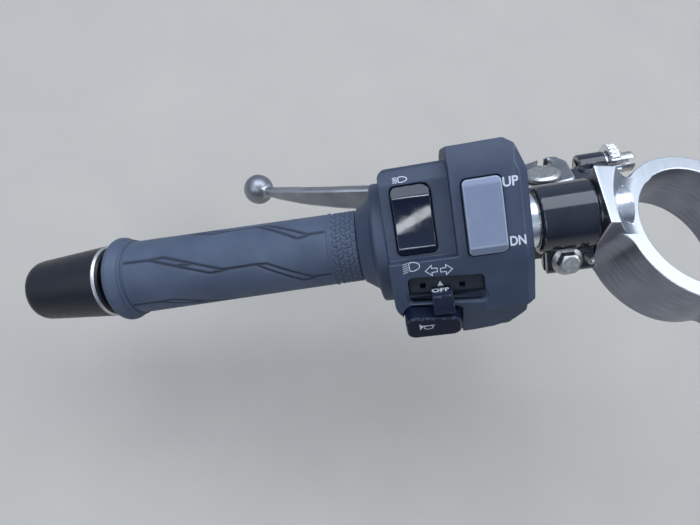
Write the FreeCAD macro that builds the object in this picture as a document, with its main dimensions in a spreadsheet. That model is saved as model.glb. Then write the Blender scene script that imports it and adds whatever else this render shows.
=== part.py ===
import FreeCAD, Part
import math
import os
import re
import Sketcher
from FreeCAD import Vector

# Left clip-on handlebar of a sport bike: fork clamp, bar, clutch lever, switch housing, grip.
# Frame of the part: origin at the middle of the fork bore, +Z up along the fork,
# +X inboard, +Y forward. The bar leaves the clamp towards -X and droops.
# Frame of the bar, in which most pieces are drawn: x outward along the bar's axis, measured
# from the fork's axis and called "along", y to the rider, z up. A piece may be rolled about x.

doc = FreeCAD.newDocument("ClipOnHandlebar")

# Driving dimensions: name, millimetres or degrees, what it is
SIZES = [
    ("fork_bore", 52, "bore of the clamp, on the fork tube"),
    ("clamp_wall", 6.5, "wall of the clamp's ring"),
    ("clamp_height", 28, "height of the clamp's ring"),
    ("bar_droop", 18, "angle of the bar below the square to the fork"),
    ("bar_ahead", 8.4, "bar's axis in front of the fork's axis"),
    ("bar_over", 21.9, "bar's axis over the middle of the clamp, at the fork's axis"),
    ("arm_end", 44, "end face of the clamp's arm, along the bar"),
    ("arm_width", 25, "width of the arm"),
    ("arm_rise", 9, "arm's top over the ring's top"),
    ("arm_fillet", 7, "rounding where the arm meets the ring"),
    ("crown_round", 13, "hollow between the ring's top and the arm"),
    ("lug_angle", -52, "direction of the pinch lug, from inboard towards the front"),
    ("lug_reach", 17, "pinch lug beyond the ring"),
    ("lug_width", 24, "width of the pinch lug"),
    ("lug_gap", 2.5, "slit of the clamp"),
    ("pinch_bolt_d", 8, "pinch bolt"),
    ("pinch_head_d", 13, "head of the pinch bolt"),
    ("bar_d", 22.2, "outside of the bar tube"),
    ("bar_bore", 15, "inside of the bar tube"),
    ("spigot_d", 17, "bar's spigot in the arm"),
    ("spigot_length", 13, "depth of the spigot in the arm"),
    ("perch_gap", 0.5, "between the arm and the perch"),
    ("perch_width", 22, "barrel of the lever perch, along the bar"),
    ("perch_d", 28, "barrel of the lever perch"),
    ("ear_roll", -43, "direction of the perch's clamp ear, from the rider upwards"),
    ("ear_width", 18.5, "clamp ear, along the bar"),
    ("ear_reach", 23.5, "tip of the ear from the bar's axis"),
    ("ear_half", 5, "half thickness of the ear"),
    ("ear_slit", 2, "slit of the ear"),
    ("perch_bolt_in", 11, "perch bolt from the inboard face of the perch"),
    ("perch_bolt_out", 17.3, "perch bolt from the bar's axis"),
    ("perch_bolt_d", 6, "perch bolt"),
    ("perch_flange_d", 12.4, "flange of the perch bolt"),
    ("perch_hex", 8, "hexagon of the perch bolt, across flats"),
    ("pin_in", 3, "pin beside the perch bolt, from the inboard face of the perch"),
    ("pin_d", 3.2, "pin beside the perch bolt"),
    ("lever_tilt", 34, "lever's plane below the bar's level, towards the front"),
    ("lever_drop", 6, "middle of the lever below the bar's axis, square to its plane"),
    ("pivot_along", 53.3, "lever pivot, along the bar"),
    ("pivot_ahead", 35, "lever pivot in front of the bar's axis"),
    ("pivot_d", 6, "pivot bolt"),
    ("pivot_head_d", 16, "head of the pivot bolt"),
    ("tongue_thick", 7, "tongue and neck of the perch"),
    ("tongue_d", 18, "tongue's round end about the pivot"),
    ("lobe_thick", 3.5, "each lobe of the lever's forked root"),
    ("pivot_gap", 0.3, "running gap at the pivot"),
    ("cable_ahead", 53, "clutch cable's line in front of the bar's axis"),
    ("adjuster_start", 20, "neck's inboard face, along the bar"),
    ("adjuster_boss_d", 14, "threaded boss for the adjuster"),
    ("adjuster_boss", 12, "length of the threaded boss"),
    ("adjuster_d", 7, "adjuster screw"),
    ("adjuster_head_d", 9.6, "inboard head of the adjuster screw"),
    ("adjuster_head", 8, "length of that head"),
    ("ferrule_d", 6.2, "seat of the cable's ferrule in the head"),
    ("ferrule_depth", 6, "depth of the ferrule's seat"),
    ("cable_d", 2.8, "bore for the cable's inner wire"),
    ("cable_slot", 2.2, "slit through which the cable is put in"),
    ("slot_roll", 26, "direction of the slit, from the rider upwards in the lever's plane"),
    ("wheel_d", 20, "knurled adjuster wheel"),
    ("wheel_thick", 5, "width of the wheel"),
    ("wheel_notch", 1.5, "round notches in the wheel's rim"),
    ("ring_along", 29.5, "raised ring on the perch's neck, along the bar"),
    ("ring_ahead", 45.5, "raised ring in front of the bar's axis"),
    ("ring_d", 9, "raised ring"),
    ("ring_bore", 5, "hole in the raised ring"),
    ("blade_thick", 7, "lever blade, front to back"),
    ("blade_height", 11.5, "lever blade at its middle, top to bottom"),
    ("blade_tip", 4.8, "lever blade at the ball, top to bottom"),
    ("nipple_in", 5.5, "seat of the cable's nipple, inboard of the pivot"),
    ("nipple_ahead", 52, "seat of the cable's nipple in front of the bar's axis"),
    ("nipple_d", 7.2, "seat of the cable's nipple"),
    ("ball_d", 18, "ball at the lever's tip"),
    ("ball_along", 206, "ball, along the bar"),
    ("ball_ahead", 94, "ball in front of the bar's axis"),
    ("case_roll", 57, "direction of the switch face, from the rider upwards"),
    ("bar_ring", 6.5, "bare bar between the perch and the switch housing"),
    ("case_length", 53, "switch housing, along the bar"),
    ("step_in", 27.5, "step of the switch face from the housing's inboard face"),
    ("case_face", 30, "raised switch face from the bar's axis"),
    ("panel_face", 25, "low switch face from the bar's axis"),
    ("case_front", 18.5, "front of the housing from the bar's axis"),
    ("front_fall", 2, "how far the front half has narrowed at its middle, above and below"),
    ("front_top_fall", 12, "how far it has narrowed at its front, above"),
    ("front_low_fall", 13, "how far it has narrowed at its front, below"),
    ("front_step_fall", 10, "how far its low part has narrowed at its front, above"),
    ("case_top", 34.5, "top of the raised part over the bar's axis"),
    ("panel_top", 30, "top of the low part over the bar's axis"),
    ("case_low", 38, "bottom of the housing under the bar's axis"),
    ("flange_d", 50, "round flange between housing and grip"),
    ("flange_thick", 5, "rim of the flange"),
    ("neck_length", 7, "hollow neck outside the flange"),
    ("beam_in", 3.9, "headlamp rocker's window from the housing's outer face"),
    ("beam_width", 15, "headlamp rocker's window, along the bar"),
    ("beam_low", -3, "lower edge of that window over the bar's axis"),
    ("beam_high", 23.3, "upper edge of that window"),
    ("select_in", 9.6, "grey rocker's window from the housing's inboard face"),
    ("select_width", 14.3, "grey rocker's window, along the bar"),
    ("select_low", -5.8, "lower edge of that window over the bar's axis"),
    ("select_high", 22.2, "upper edge of that window"),
    ("turn_in", 18.8, "turn switch's recess from the housing's inboard face"),
    ("turn_out", 6, "turn switch's recess from the housing's outer face"),
    ("turn_low", -20.6, "lower edge of that recess over the bar's axis, at its outer end"),
    ("turn_high", -11, "upper edge of that recess, at its outer end"),
    ("turn_slant", 2.1, "how much lower that recess lies at its inboard end"),
    ("turn_depth", 7.2, "floor of that recess under the switch face"),
    ("turn_rim", 1.8, "sunk rim under that recess"),
    ("plate_thick", 1, "plate on the floor of that recess"),
    ("plate_hole", 2, "square holes in that plate"),
    ("hole_in", 7, "inboard one of them from the recess's inboard end"),
    ("hole_out", 4.5, "outboard one of them from the recess's outer end"),
    ("slider_out", 8.3, "turn switch's slider from the recess's outer end"),
    ("slider_width", 7.7, "that slider, along the bar"),
    ("slider_low", -25.6, "lower edge of that slider over the bar's axis"),
    ("slider_high", -17.2, "upper edge of that slider"),
    ("horn_roll", 17, "direction of the horn button, from the rider upwards"),
    ("horn_out", 2.6, "horn recess from the housing's outer face"),
    ("horn_width", 23.4, "horn recess, along the bar"),
    ("horn_low", -16.3, "lower edge of that recess, across its slope"),
    ("horn_high", -1.2, "upper edge of that recess, across its slope, at its outer end"),
    ("horn_slant", 3, "how much lower that edge is at its inboard end"),
    ("horn_floor", 31.5, "floor of that recess from the bar's axis"),
    ("horn_inset", 1.8, "horn button from its recess's inboard end"),
    ("horn_height", 8, "horn button over its recess's floor"),
    ("window_round", 2, "rounded corners of the windows"),
    ("beam_round", 3.6, "upper inboard corner of the headlamp rocker's window"),
    ("case_bevel", 3.4, "bevel along the switch face's inboard edge"),
    ("switch_gap", 0.4, "gap around each switch"),
    ("case_screw_d", 4.4, "screws that hold the two halves of the housing"),
    ("case_screw_head", 8, "heads of those screws"),
    ("outlet_in", 9, "harness outlet from the housing's inboard face"),
    ("outlet_ahead", 8, "harness outlet in front of the bar's axis"),
    ("outlet_d", 10, "harness outlet"),
    ("harness_d", 5.2, "bore for the wiring harness"),
    ("grip_gap", 0.3, "between the housing's neck and the grip, and the grip's end over the bar's end"),
    ("grip_length", 111, "grip, along the bar"),
    ("grip_d", 30.4, "grip at its inner end"),
    ("grip_outer_d", 32.8, "grip at its outer end"),
    ("grip_flange_d", 38, "bulb at the grip's outer end"),
    ("weight_gap", 3.7, "between the grip and the shoulder of the bar-end weight"),
    ("weight_length", 38.5, "bar-end weight from its shoulder to its end"),
    ("weight_d", 32.6, "bar-end weight at its shoulder"),
    ("weight_tip_d", 26, "bar-end weight at its tip"),
    ("weight_plug", 24, "plug of the weight inside the bar"),
    ("end_screw_d", 9.2, "head of the bar-end screw"),
]
# Places along the bar that follow from them
PLACES = [
    ("case_start", "arm_end + perch_gap + perch_width + bar_ring", "inboard face of the switch housing"),
    ("case_step", "case_start + step_in", "step between the raised and the low part of the switch face"),
    ("case_end", "case_start + case_length", "outer face of the switch housing"),
    ("grip_start", "case_end + flange_thick + neck_length + grip_gap", "inner end of the grip"),
    ("grip_end", "grip_start + grip_length", "outer end of the grip"),
    ("bar_end", "grip_end - grip_gap", "outer end of the bar tube"),
    ("weight_start", "grip_end + weight_gap", "shoulder of the bar-end weight"),
    ("weight_end", "weight_start + weight_length", "end of the bar-end weight"),
]
ROWS = [(alias, str(amount), meaning) for alias, amount, meaning in SIZES]
ROWS += [(alias, f"={text}", meaning) for alias, text, meaning in PLACES]

sheet = doc.addObject("Spreadsheet::Sheet", "Sizes")
for row, (alias, content, meaning) in enumerate(ROWS, start=1):
    sheet.set(f"A{row}", meaning)
    sheet.set(f"B{row}", content)
    sheet.setAlias(f"B{row}", alias)
ALIASES = {alias for alias, content, meaning in ROWS}

# The gauge reads a formula's value, so that a sketch can be drawn where its constraints put it
gauge = doc.addObject("App::FeaturePython", "Gauge")
gauge.addProperty("App::PropertyFloat", "Reading")
doc.recompute()


def from_sheet(word):
    name = word.group()
    return f"Sizes.{name}" if name in ALIASES else name


def formula(text):
    """the text as an expression, with each named size taken from the sheet"""
    return re.sub(r"[a-z_]+", from_sheet, str(text))


def reading(text):
    gauge.setExpression("Reading", formula(text))
    gauge.recompute()
    return gauge.Reading


def on_bar(item, roll=0):
    """places a piece drawn in the bar's frame, rolled about the bar"""
    item.setExpression(".Placement.Base.y", formula("bar_ahead"))
    item.setExpression(".Placement.Base.z", formula("bar_over"))
    item.setExpression(".Placement.Rotation.Yaw", "180")
    item.setExpression(".Placement.Rotation.Pitch", formula("bar_droop"))
    item.setExpression(".Placement.Rotation.Roll", formula(roll))
    return item


def rolled(item, roll):
    """turns a tool or a part of a piece about the bar's axis, inside the bar's frame"""
    item.setExpression(".Placement.Rotation.Roll", formula(roll))
    return item


def turned_to_lug(item):
    item.setExpression(".Placement.Rotation.Yaw", formula("lug_angle"))
    return item


class Rules:
    """the constraints of one sketch, gathered so that it is solved once"""

    def __init__(self, sketch):
        self.sketch = sketch
        self.constraints = []
        self.formulas = []

    def add(self, *constraint, text=None):
        if text is not None:
            self.formulas.append((len(self.constraints), formula(text)))
            constraint += (reading(text),)
        self.constraints.append(Sketcher.Constraint(*constraint))

    def point(self, point, right, up):
        self.add("DistanceX", -1, 1, point, 1, text=right)
        self.add("DistanceY", -1, 1, point, 1, text=up)

    def apply(self):
        self.sketch.addConstraint(self.constraints)
        for index, text in self.formulas:
            self.sketch.setExpression(f"Constraints[{index}]", text)


class Solid:
    """one PartDesign body; planes: XY, XZ or YZ of its own frame"""

    def __init__(self, name):
        self.body = doc.addObject("PartDesign::Body", name)
        self.count = 0

    def feature(self, kind, name):
        self.count += 1
        return self.body.newObject(kind, f"{self.body.Label}_{name}_{self.count}")

    def sketch(self, plane, shift=(0, 0, 0)):
        """an empty sketch; shift moves its origin right, up and along the plane's normal"""
        sketch = self.feature("Sketcher::SketchObject", "sketch")
        role = f"{plane}_Plane"
        origin = [item for item in self.body.Origin.OriginFeatures if item.Role == role][0]
        sketch.AttachmentSupport = [(origin, "")]
        sketch.MapMode = "FlatFace"
        for axis, text in zip("xyz", shift):
            sketch.setExpression(f".AttachmentOffset.Base.{axis}", formula(text))
        return sketch

    def outline(self, plane, corners, shift=(0, 0, 0)):
        """a closed outline of straight lines; a corner is right, up and, if rounded, its radius"""
        sketch = self.sketch(plane, shift)
        rules = Rules(sketch)
        places = [Vector(reading(corner[0]), reading(corner[1]), 0) for corner in corners]
        rounds = [reading(corner[2]) if len(corner) > 2 else 0 for corner in corners]
        points = sketch.addGeometry([Part.Point(place) for place in places], True)
        starts, ends, centres, lefts = [], [], [], []
        for index, place in enumerate(places):
            before = (places[index - 1] - place).normalize()
            after = (places[(index + 1) % len(places)] - place).normalize()
            half = before.getAngle(after) / 2
            ends.append(place + before * (rounds[index] / math.tan(half)))
            starts.append(place + after * (rounds[index] / math.tan(half)))
            centres.append(place + (before + after).normalize() * (rounds[index] / math.sin(half)))
            lefts.append(after.cross(before).z > 0)
            rules.point(points[index], *corners[index][:2])
        far_ends = ends[1:] + ends[:1]
        lines = sketch.addGeometry([Part.LineSegment(*pair) for pair in zip(starts, far_ends)], False)
        for index, point in enumerate(points):
            coming, leaving = lines[index - 1], lines[index]
            if not rounds[index]:
                rules.add("Coincident", coming, 2, point, 1)
                rules.add("Coincident", leaving, 1, point, 1)
                continue
            # An arc runs counterclockwise, so at a turn to the right it starts at the leaving line
            tips = (ends[index], starts[index]) if lefts[index] else (starts[index], ends[index])
            angles = [math.atan2(*(tip - centres[index])[1::-1]) for tip in tips]
            circle = Part.Circle(centres[index], Vector(0, 0, 1), rounds[index])
            arc = sketch.addGeometry(Part.ArcOfCircle(circle, *angles), False)
            first, last = (1, 2) if lefts[index] else (2, 1)
            rules.add("Tangent", coming, 2, arc, first)
            rules.add("Tangent", leaving, 1, arc, last)
            rules.add("PointOnObject", point, 1, coming)
            rules.add("PointOnObject", point, 1, leaving)
            rules.add("Radius", arc, text=corners[index][2])
        rules.apply()
        return sketch

    def circles(self, plane, circles, shift=(0, 0, 0)):
        """circles given as right, up and diameter"""
        sketch = self.sketch(plane, shift)
        rules = Rules(sketch)
        for right, up, diameter in circles:
            place = Vector(reading(right), reading(up), 0)
            centre = sketch.addGeometry(Part.Point(place), True)
            rules.point(centre, right, up)
            drawn = Part.Circle(place, Vector(0, 0, 1), reading(diameter) / 2)
            circle = sketch.addGeometry(drawn, False)
            rules.add("Coincident", circle, 3, centre, 1)
            rules.add("Radius", circle, text=f"({diameter}) / 2")
        rules.apply()
        return sketch

    def hexagon(self, plane, across, shift):
        """six corners about the sketch's origin, across the flats"""
        reach = f"({across}) / 2 / cos(30)"
        corners = [(f"{reach} * cos({angle})", f"{reach} * sin({angle})") for angle in range(0, 360, 60)]
        return self.outline(plane, corners, shift)

    def extrude(self, kind, sketch, length, back=False, both=False):
        feature = self.feature(kind, "extrusion")
        feature.Profile = sketch
        feature.setExpression("Length", formula(length))
        feature.Reversed = back
        feature.Midplane = both
        doc.recompute()
        return self

    def pad(self, sketch, length, back=False, both=False):
        return self.extrude("PartDesign::Pad", sketch, length, back, both)

    def pocket(self, sketch, length, back=False, both=False):
        before = self.body.Shape.Volume
        self.extrude("PartDesign::Pocket", sketch, length, back, both)
        if self.body.Shape.Volume > before - 0.01:
            raise ValueError(f"{self.body.Label}: a pocket cuts nothing")
        return self

    def turn(self, kind, sketch, axis, angle=360, both=False):
        feature = self.feature(kind, "turning")
        feature.Profile = sketch
        feature.ReferenceAxis = (sketch, [f"{axis}_Axis"])
        feature.Angle = angle
        feature.Midplane = both
        doc.recompute()
        return self

    def revolve(self, sketch, axis, angle=360, both=False):
        return self.turn("PartDesign::Revolution", sketch, axis, angle, both)

    def groove(self, sketch, axis):
        return self.turn("PartDesign::Groove", sketch, axis)

    def around(self, sketch, copies):
        """repeats the last feature about the normal at its sketch's origin"""
        last = self.body.Tip
        pattern = self.feature("PartDesign::PolarPattern", "pattern")
        pattern.Originals = [last]
        pattern.Axis = (sketch, ["N_Axis"])
        pattern.Angle = 360
        pattern.Occurrences = copies
        self.body.Tip = pattern
        doc.recompute()
        return self

    def edges(self, wanted):
        names = []
        for number, edge in enumerate(self.body.Tip.Shape.Edges, start=1):
            if wanted(edge, edge.CenterOfMass):
                names.append(f"Edge{number}")
        if not names:
            raise ValueError(f"{self.body.Label}: no such edge")
        return names

    def soften(self, wanted, size, kind="Fillet"):
        """rounds or bevels the edges that are wanted"""
        names = self.edges(wanted)
        last = self.body.Tip
        feature = self.feature(f"PartDesign::{kind}", "edge")
        feature.Base = (last, names)
        feature.setExpression("Radius" if kind == "Fillet" else "Size", formula(size))
        self.body.Tip = feature
        doc.recompute()
        return self


def boolean(kind, name, base, tools):
    """Part::Cut or Part::Common of a base with one tool or with several joined tools"""
    result = doc.addObject(kind, name)
    result.Base = base
    result.Tool = tools[0] if len(tools) == 1 else joined(f"{name}_tools", tools)
    return result


def joined(name, pieces):
    result = doc.addObject("Part::MultiFuse", name)
    result.Shapes = pieces
    return result


def rectangle(left, right, low, high, corner=None):
    corners = [(left, low), (right, low), (right, high), (left, high)]
    return [place + (corner,) for place in corners] if corner else corners


def by_lug(out, across):
    """a place in the clamp's plan, measured out along the lug and across it"""
    return (
        f"({out}) * cos(lug_angle) - ({across}) * sin(lug_angle)",
        f"({out}) * sin(lug_angle) + ({across}) * cos(lug_angle)",
    )


WHEEL_NOTCHES = 28

# Places worked out from the sizes, as formulas
RING = "(fork_bore / 2 + clamp_wall)"
LUG_BOLT = f"({RING} + lug_reach / 2 + 1)"
PERCH_START = "(arm_end + perch_gap)"
PERCH_END = "(arm_end + perch_gap + perch_width)"
EAR_BOLT = f"({PERCH_START} + perch_bolt_in)"
PIN_ALONG = f"({PERCH_START} + pin_in)"
PIN_OUT = "(perch_bolt_out - 0.5)"
TONGUE_TOP = "(-lever_drop + tongue_thick / 2)"
TONGUE_LOW = "(-lever_drop - tongue_thick / 2)"
LOBE_TOP = f"({TONGUE_TOP} + pivot_gap + lobe_thick)"
LOBE_LOW = f"({TONGUE_LOW} - pivot_gap - lobe_thick)"
WHEEL_START = "(adjuster_start - 1 - wheel_thick)"
ADJUSTER_LINE = ("0", "-cable_ahead", "-lever_drop")
BEAM_START = "(case_end - beam_in - beam_width)"
BEAM_END = "(case_end - beam_in)"
SELECT_START = "(case_start + select_in)"
SELECT_END = "(case_start + select_in + select_width)"
HORN_START = "(case_end - horn_out - horn_width)"
HORN_END = "(case_end - horn_out)"


def make_fork_clamp():
    low = ("0", "0", "-clamp_height / 2")
    block = Solid("clamp_block")
    block.pad(block.circles("XY", [("0", "0", f"2 * {RING}")], low), "clamp_height")
    arm = rectangle("-arm_end - 8", "0", "bar_ahead - arm_width / 2", "bar_ahead + arm_width / 2")
    block.pad(block.outline("XY", arm, low), "clamp_height + arm_rise")
    lug = [
        by_lug("0", "-lug_width / 2"),
        by_lug(f"{RING} + lug_reach", "-lug_width / 2") + ("4",),
        by_lug(f"{RING} + lug_reach", "lug_width / 2") + ("4",),
        by_lug("0", "lug_width / 2"),
    ]
    block.pad(block.outline("XY", lug, low), "clamp_height")

    def in_the_corner(edge, middle):
        upright = abs(edge.tangentAt(edge.FirstParameter).z) > 0.99
        return upright and abs(math.hypot(middle.x, middle.y) - reading(RING)) < 0.5

    block.soften(in_the_corner, "arm_fillet")
    top = "clamp_height / 2"
    crown = [
        ("0", top),
        (f"{RING} + 1.5", top, "crown_round"),
        (f"{RING} + 10", f"{top} + arm_rise"),
        (f"{RING} + 10", f"{top} + arm_rise + 20"),
        ("0", f"{top} + arm_rise + 20"),
    ]
    block.groove(block.outline("XZ", crown), "V")
    block.pocket(block.circles("XY", [("0", "0", "fork_bore")]), "2 * clamp_height + 80", both=True)

    trim = Solid("arm_trim")
    beyond = rectangle("-40", "40", "-60", "60")
    trim.pad(trim.outline("YZ", beyond, ("0", "0", "arm_end")), "40")
    socket = Solid("arm_socket")
    floor = ("0", "0", "arm_end - spigot_length")
    socket.pad(socket.circles("YZ", [("0", "0", "spigot_d")], floor), "spigot_length + 1")
    slit = Solid("lug_slit")
    slot = rectangle("fork_bore / 2 - 3", f"{RING} + lug_reach + 2", "-lug_gap / 2", "lug_gap / 2")
    slit.pad(slit.outline("XY", slot), "clamp_height + 2", both=True)
    hole = Solid("lug_hole")
    hole.pad(hole.circles("XZ", [(LUG_BOLT, "0", "pinch_bolt_d")]), "lug_width + 4", both=True)
    seat = Solid("lug_seat")
    head = [(LUG_BOLT, "0", "pinch_head_d + 1")]
    seat.pad(seat.circles("XZ", head, ("0", "0", "lug_width / 2 - 6")), "20")
    for tool in (trim, socket):
        on_bar(tool.body)
    for tool in (slit, hole, seat):
        turned_to_lug(tool.body)
    tools = [tool.body for tool in (trim, socket, slit, hole, seat)]
    return boolean("Part::Cut", "fork_clamp", block.body, tools)


def make_pinch_bolt():
    bolt = Solid("pinch_bolt")
    seat = "(-lug_width / 2 + 6)"
    profile = [
        ("0", f"{seat} - pinch_bolt_d"),
        ("pinch_head_d / 2", f"{seat} - pinch_bolt_d"),
        ("pinch_head_d / 2", seat),
        ("pinch_bolt_d / 2", seat),
        ("pinch_bolt_d / 2", "lug_width / 2 - 1"),
        ("0", "lug_width / 2 - 1"),
    ]
    bolt.revolve(bolt.outline("XY", profile, (LUG_BOLT, "0", "0")), "V")
    bolt.pocket(bolt.hexagon("XZ", "6", (LUG_BOLT, "0", f"-({seat}) + pinch_bolt_d")), "4")
    turned_to_lug(bolt.body)
    return bolt.body


def make_bar_tube():
    tube = Solid("bar_tube")
    inner = "arm_end - spigot_length"
    profile = [
        (inner, "0"),
        (inner, "spigot_d / 2"),
        ("arm_end", "spigot_d / 2"),
        ("arm_end", "bar_d / 2"),
        ("bar_end", "bar_d / 2"),
        ("bar_end", "bar_bore / 2"),
        ("arm_end + 14", "bar_bore / 2"),
        ("arm_end + 14", "0"),
    ]
    tube.revolve(tube.outline("XY", profile), "H")
    return on_bar(tube.body)


def make_lever_perch():
    casting = Solid("perch_casting")
    barrel = [
        (PERCH_START, "0"),
        (PERCH_START, "perch_d / 2 - 1"),
        (f"{PERCH_START} + 1", "perch_d / 2"),
        (f"{PERCH_END} - 1", "perch_d / 2"),
        (PERCH_END, "perch_d / 2 - 1"),
        (PERCH_END, "0"),
    ]
    casting.revolve(casting.outline("XY", barrel), "H")
    low = ("0", "0", TONGUE_LOW)
    # The tongue reaches the pivot, and the neck turns inboard from it to the adjuster's boss
    tongue = [
        ("pivot_along - 7.3", "-5"),
        ("pivot_along + 4.7", "-5"),
        ("pivot_along + 5.2", "-pivot_ahead + 8", "4"),
        ("pivot_along + 5.2", "-pivot_ahead - 7", "5"),
        ("pivot_along - 8", "-cable_ahead + 7", "3"),
        ("adjuster_start + 13", "-cable_ahead + 5", "2"),
        ("adjuster_start + 12", "-cable_ahead - 6", "2.5"),
        ("adjuster_start", "-cable_ahead - 6"),
        ("adjuster_start", "-cable_ahead + 9", "6"),
        ("adjuster_start + 11", "-cable_ahead + 17", "8"),
        ("pivot_along - 9.3", "-pivot_ahead + 10", "8"),
        ("pivot_along - 7.3", "-pivot_ahead + 18", "4"),
    ]
    casting.pad(casting.outline("XY", tongue, low), "tongue_thick")
    casting.pad(casting.circles("XY", [("pivot_along", "-pivot_ahead", "tongue_d")], low), "tongue_thick")
    ring = ("ring_along", "-ring_ahead", "ring_d")
    casting.pad(casting.circles("XY", [ring], low), "tongue_thick + 1")
    casting.pocket(casting.circles("XY", [("ring_along", "-ring_ahead", "ring_bore")]), "60", both=True)
    shift = ("-cable_ahead", "-lever_drop", "adjuster_start")
    casting.pad(casting.circles("YZ", [("0", "0", "adjuster_boss_d")], shift), "adjuster_boss")
    thread = casting.circles("YZ", [("-cable_ahead", "-lever_drop", "adjuster_d")])
    casting.pocket(thread, "2 * adjuster_start + 40", both=True)
    pivot = casting.circles("XY", [("pivot_along", "-pivot_ahead", "pivot_d")])
    casting.pocket(pivot, "60", both=True)

    ear = Solid("perch_ear")
    section = [
        ("8", "-ear_half"),
        ("ear_reach", "-ear_half", "3.5"),
        ("ear_reach", "ear_half", "3.5"),
        ("8", "ear_half"),
    ]
    ear.pad(ear.outline("YZ", section, ("0", "0", PERCH_START)), "ear_width")
    holes = [(EAR_BOLT, "perch_bolt_out", "perch_bolt_d"), (PIN_ALONG, PIN_OUT, "pin_d")]
    ear.pocket(ear.circles("XY", holes), "40", both=True)
    pad = Solid("switch_pad")
    shelf = rectangle("-6", "5", "-perch_d / 2 - 2", "-bar_d / 2 + 1")
    pad.pad(pad.outline("YZ", shelf, ("0", "0", f"{PERCH_END} - 11")), "11")

    slit = Solid("perch_slit")
    opening = rectangle("8", "ear_reach + 2", "-ear_slit / 2", "ear_slit / 2")
    slit.pad(slit.outline("YZ", opening, ("0", "0", f"{PERCH_START} - 1")), "perch_width + 2")
    bore = Solid("perch_bore")
    bore.pad(bore.circles("YZ", [("0", "0", "bar_d")], ("0", "0", f"{PERCH_START} - 1")), "perch_width + 2")
    bolt_seat = Solid("perch_bolt_seat")
    bolt_place = (EAR_BOLT, "perch_bolt_out", "perch_flange_d + 1")
    bolt_seat.pad(bolt_seat.circles("XY", [bolt_place], ("0", "0", "ear_half")), "20")
    pin_seat = Solid("perch_pin_seat")
    pin_place = (PIN_ALONG, PIN_OUT, "pin_d + 0.4")
    pin_seat.pad(pin_seat.circles("XY", [pin_place], ("0", "0", "ear_half")), "20")
    for piece in (ear, slit, bolt_seat, pin_seat):
        rolled(piece.body, "ear_roll")
    rolled(casting.body, "lever_tilt")
    solid = joined("perch_solid", [casting.body, ear.body, pad.body])
    cuts = [slit.body, bore.body, bolt_seat.body, pin_seat.body]
    return on_bar(boolean("Part::Cut", "lever_perch", solid, cuts))


def make_perch_bolt():
    bolt = Solid("perch_bolt")
    seat = "ear_half"
    profile = [
        ("0", f"-{seat} - 2"),
        ("perch_bolt_d / 2", f"-{seat} - 2"),
        ("perch_bolt_d / 2", seat),
        ("perch_flange_d / 2", seat),
        ("perch_flange_d / 2", f"{seat} + 0.8"),
        ("perch_hex / 2 + 0.4", f"{seat} + 1.8"),
        ("0", f"{seat} + 1.8"),
    ]
    axis = (EAR_BOLT, "0", "-perch_bolt_out")
    bolt.revolve(bolt.outline("XZ", profile, axis), "V")
    bolt.pad(bolt.hexagon("XY", "perch_hex", (EAR_BOLT, "perch_bolt_out", f"{seat} + 1")), "4.6")
    crown = [
        ("perch_hex / 2 - 0.8", f"{seat} + 5.7"),
        ("perch_hex / 2 + 2", f"{seat} + 5.7"),
        ("perch_hex / 2 + 2", f"{seat} + 3.6"),
    ]
    bolt.groove(bolt.outline("XZ", crown, axis), "V")
    return on_bar(bolt.body, "ear_roll")


def make_perch_pin():
    pin = Solid("perch_pin")
    profile = [
        ("0", "-ear_half"),
        ("pin_d / 2", "-ear_half"),
        ("pin_d / 2", "ear_half + 5"),
        ("pin_d / 2 - 1.1", "ear_half + 7"),
        ("0", "ear_half + 7"),
    ]
    pin.revolve(pin.outline("XZ", profile, (PIN_ALONG, "0", f"-{PIN_OUT}")), "V")
    return on_bar(pin.body, "ear_roll")


def make_pivot_bolt():
    bolt = Solid("pivot_bolt")
    seat = f"({LOBE_TOP} + pivot_gap)"
    nut = f"({LOBE_LOW} - pivot_gap)"
    profile = [
        ("0", f"{nut} - 6.5"),
        ("pivot_d / 2", f"{nut} - 6.5"),
        ("pivot_d / 2", seat),
        ("pivot_head_d / 2", seat),
        ("pivot_head_d / 2", f"{seat} + 1.6"),
        ("pivot_head_d / 2 - 1.6", f"{seat} + 2.8"),
        ("0", f"{seat} + 2.8"),
    ]
    bolt.revolve(bolt.outline("XZ", profile, ("pivot_along", "0", "pivot_ahead")), "V")
    return on_bar(bolt.body, "lever_tilt")


def make_pivot_nut():
    nut = Solid("pivot_nut")
    low = f"({LOBE_LOW} - pivot_gap - 5.2)"
    nut.pad(nut.hexagon("XY", "10", ("pivot_along", "-pivot_ahead", low)), "5.2")
    nut.pocket(nut.circles("XY", [("pivot_along", "-pivot_ahead", "pivot_d")]), "80", both=True)
    return on_bar(nut.body, "lever_tilt")


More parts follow.
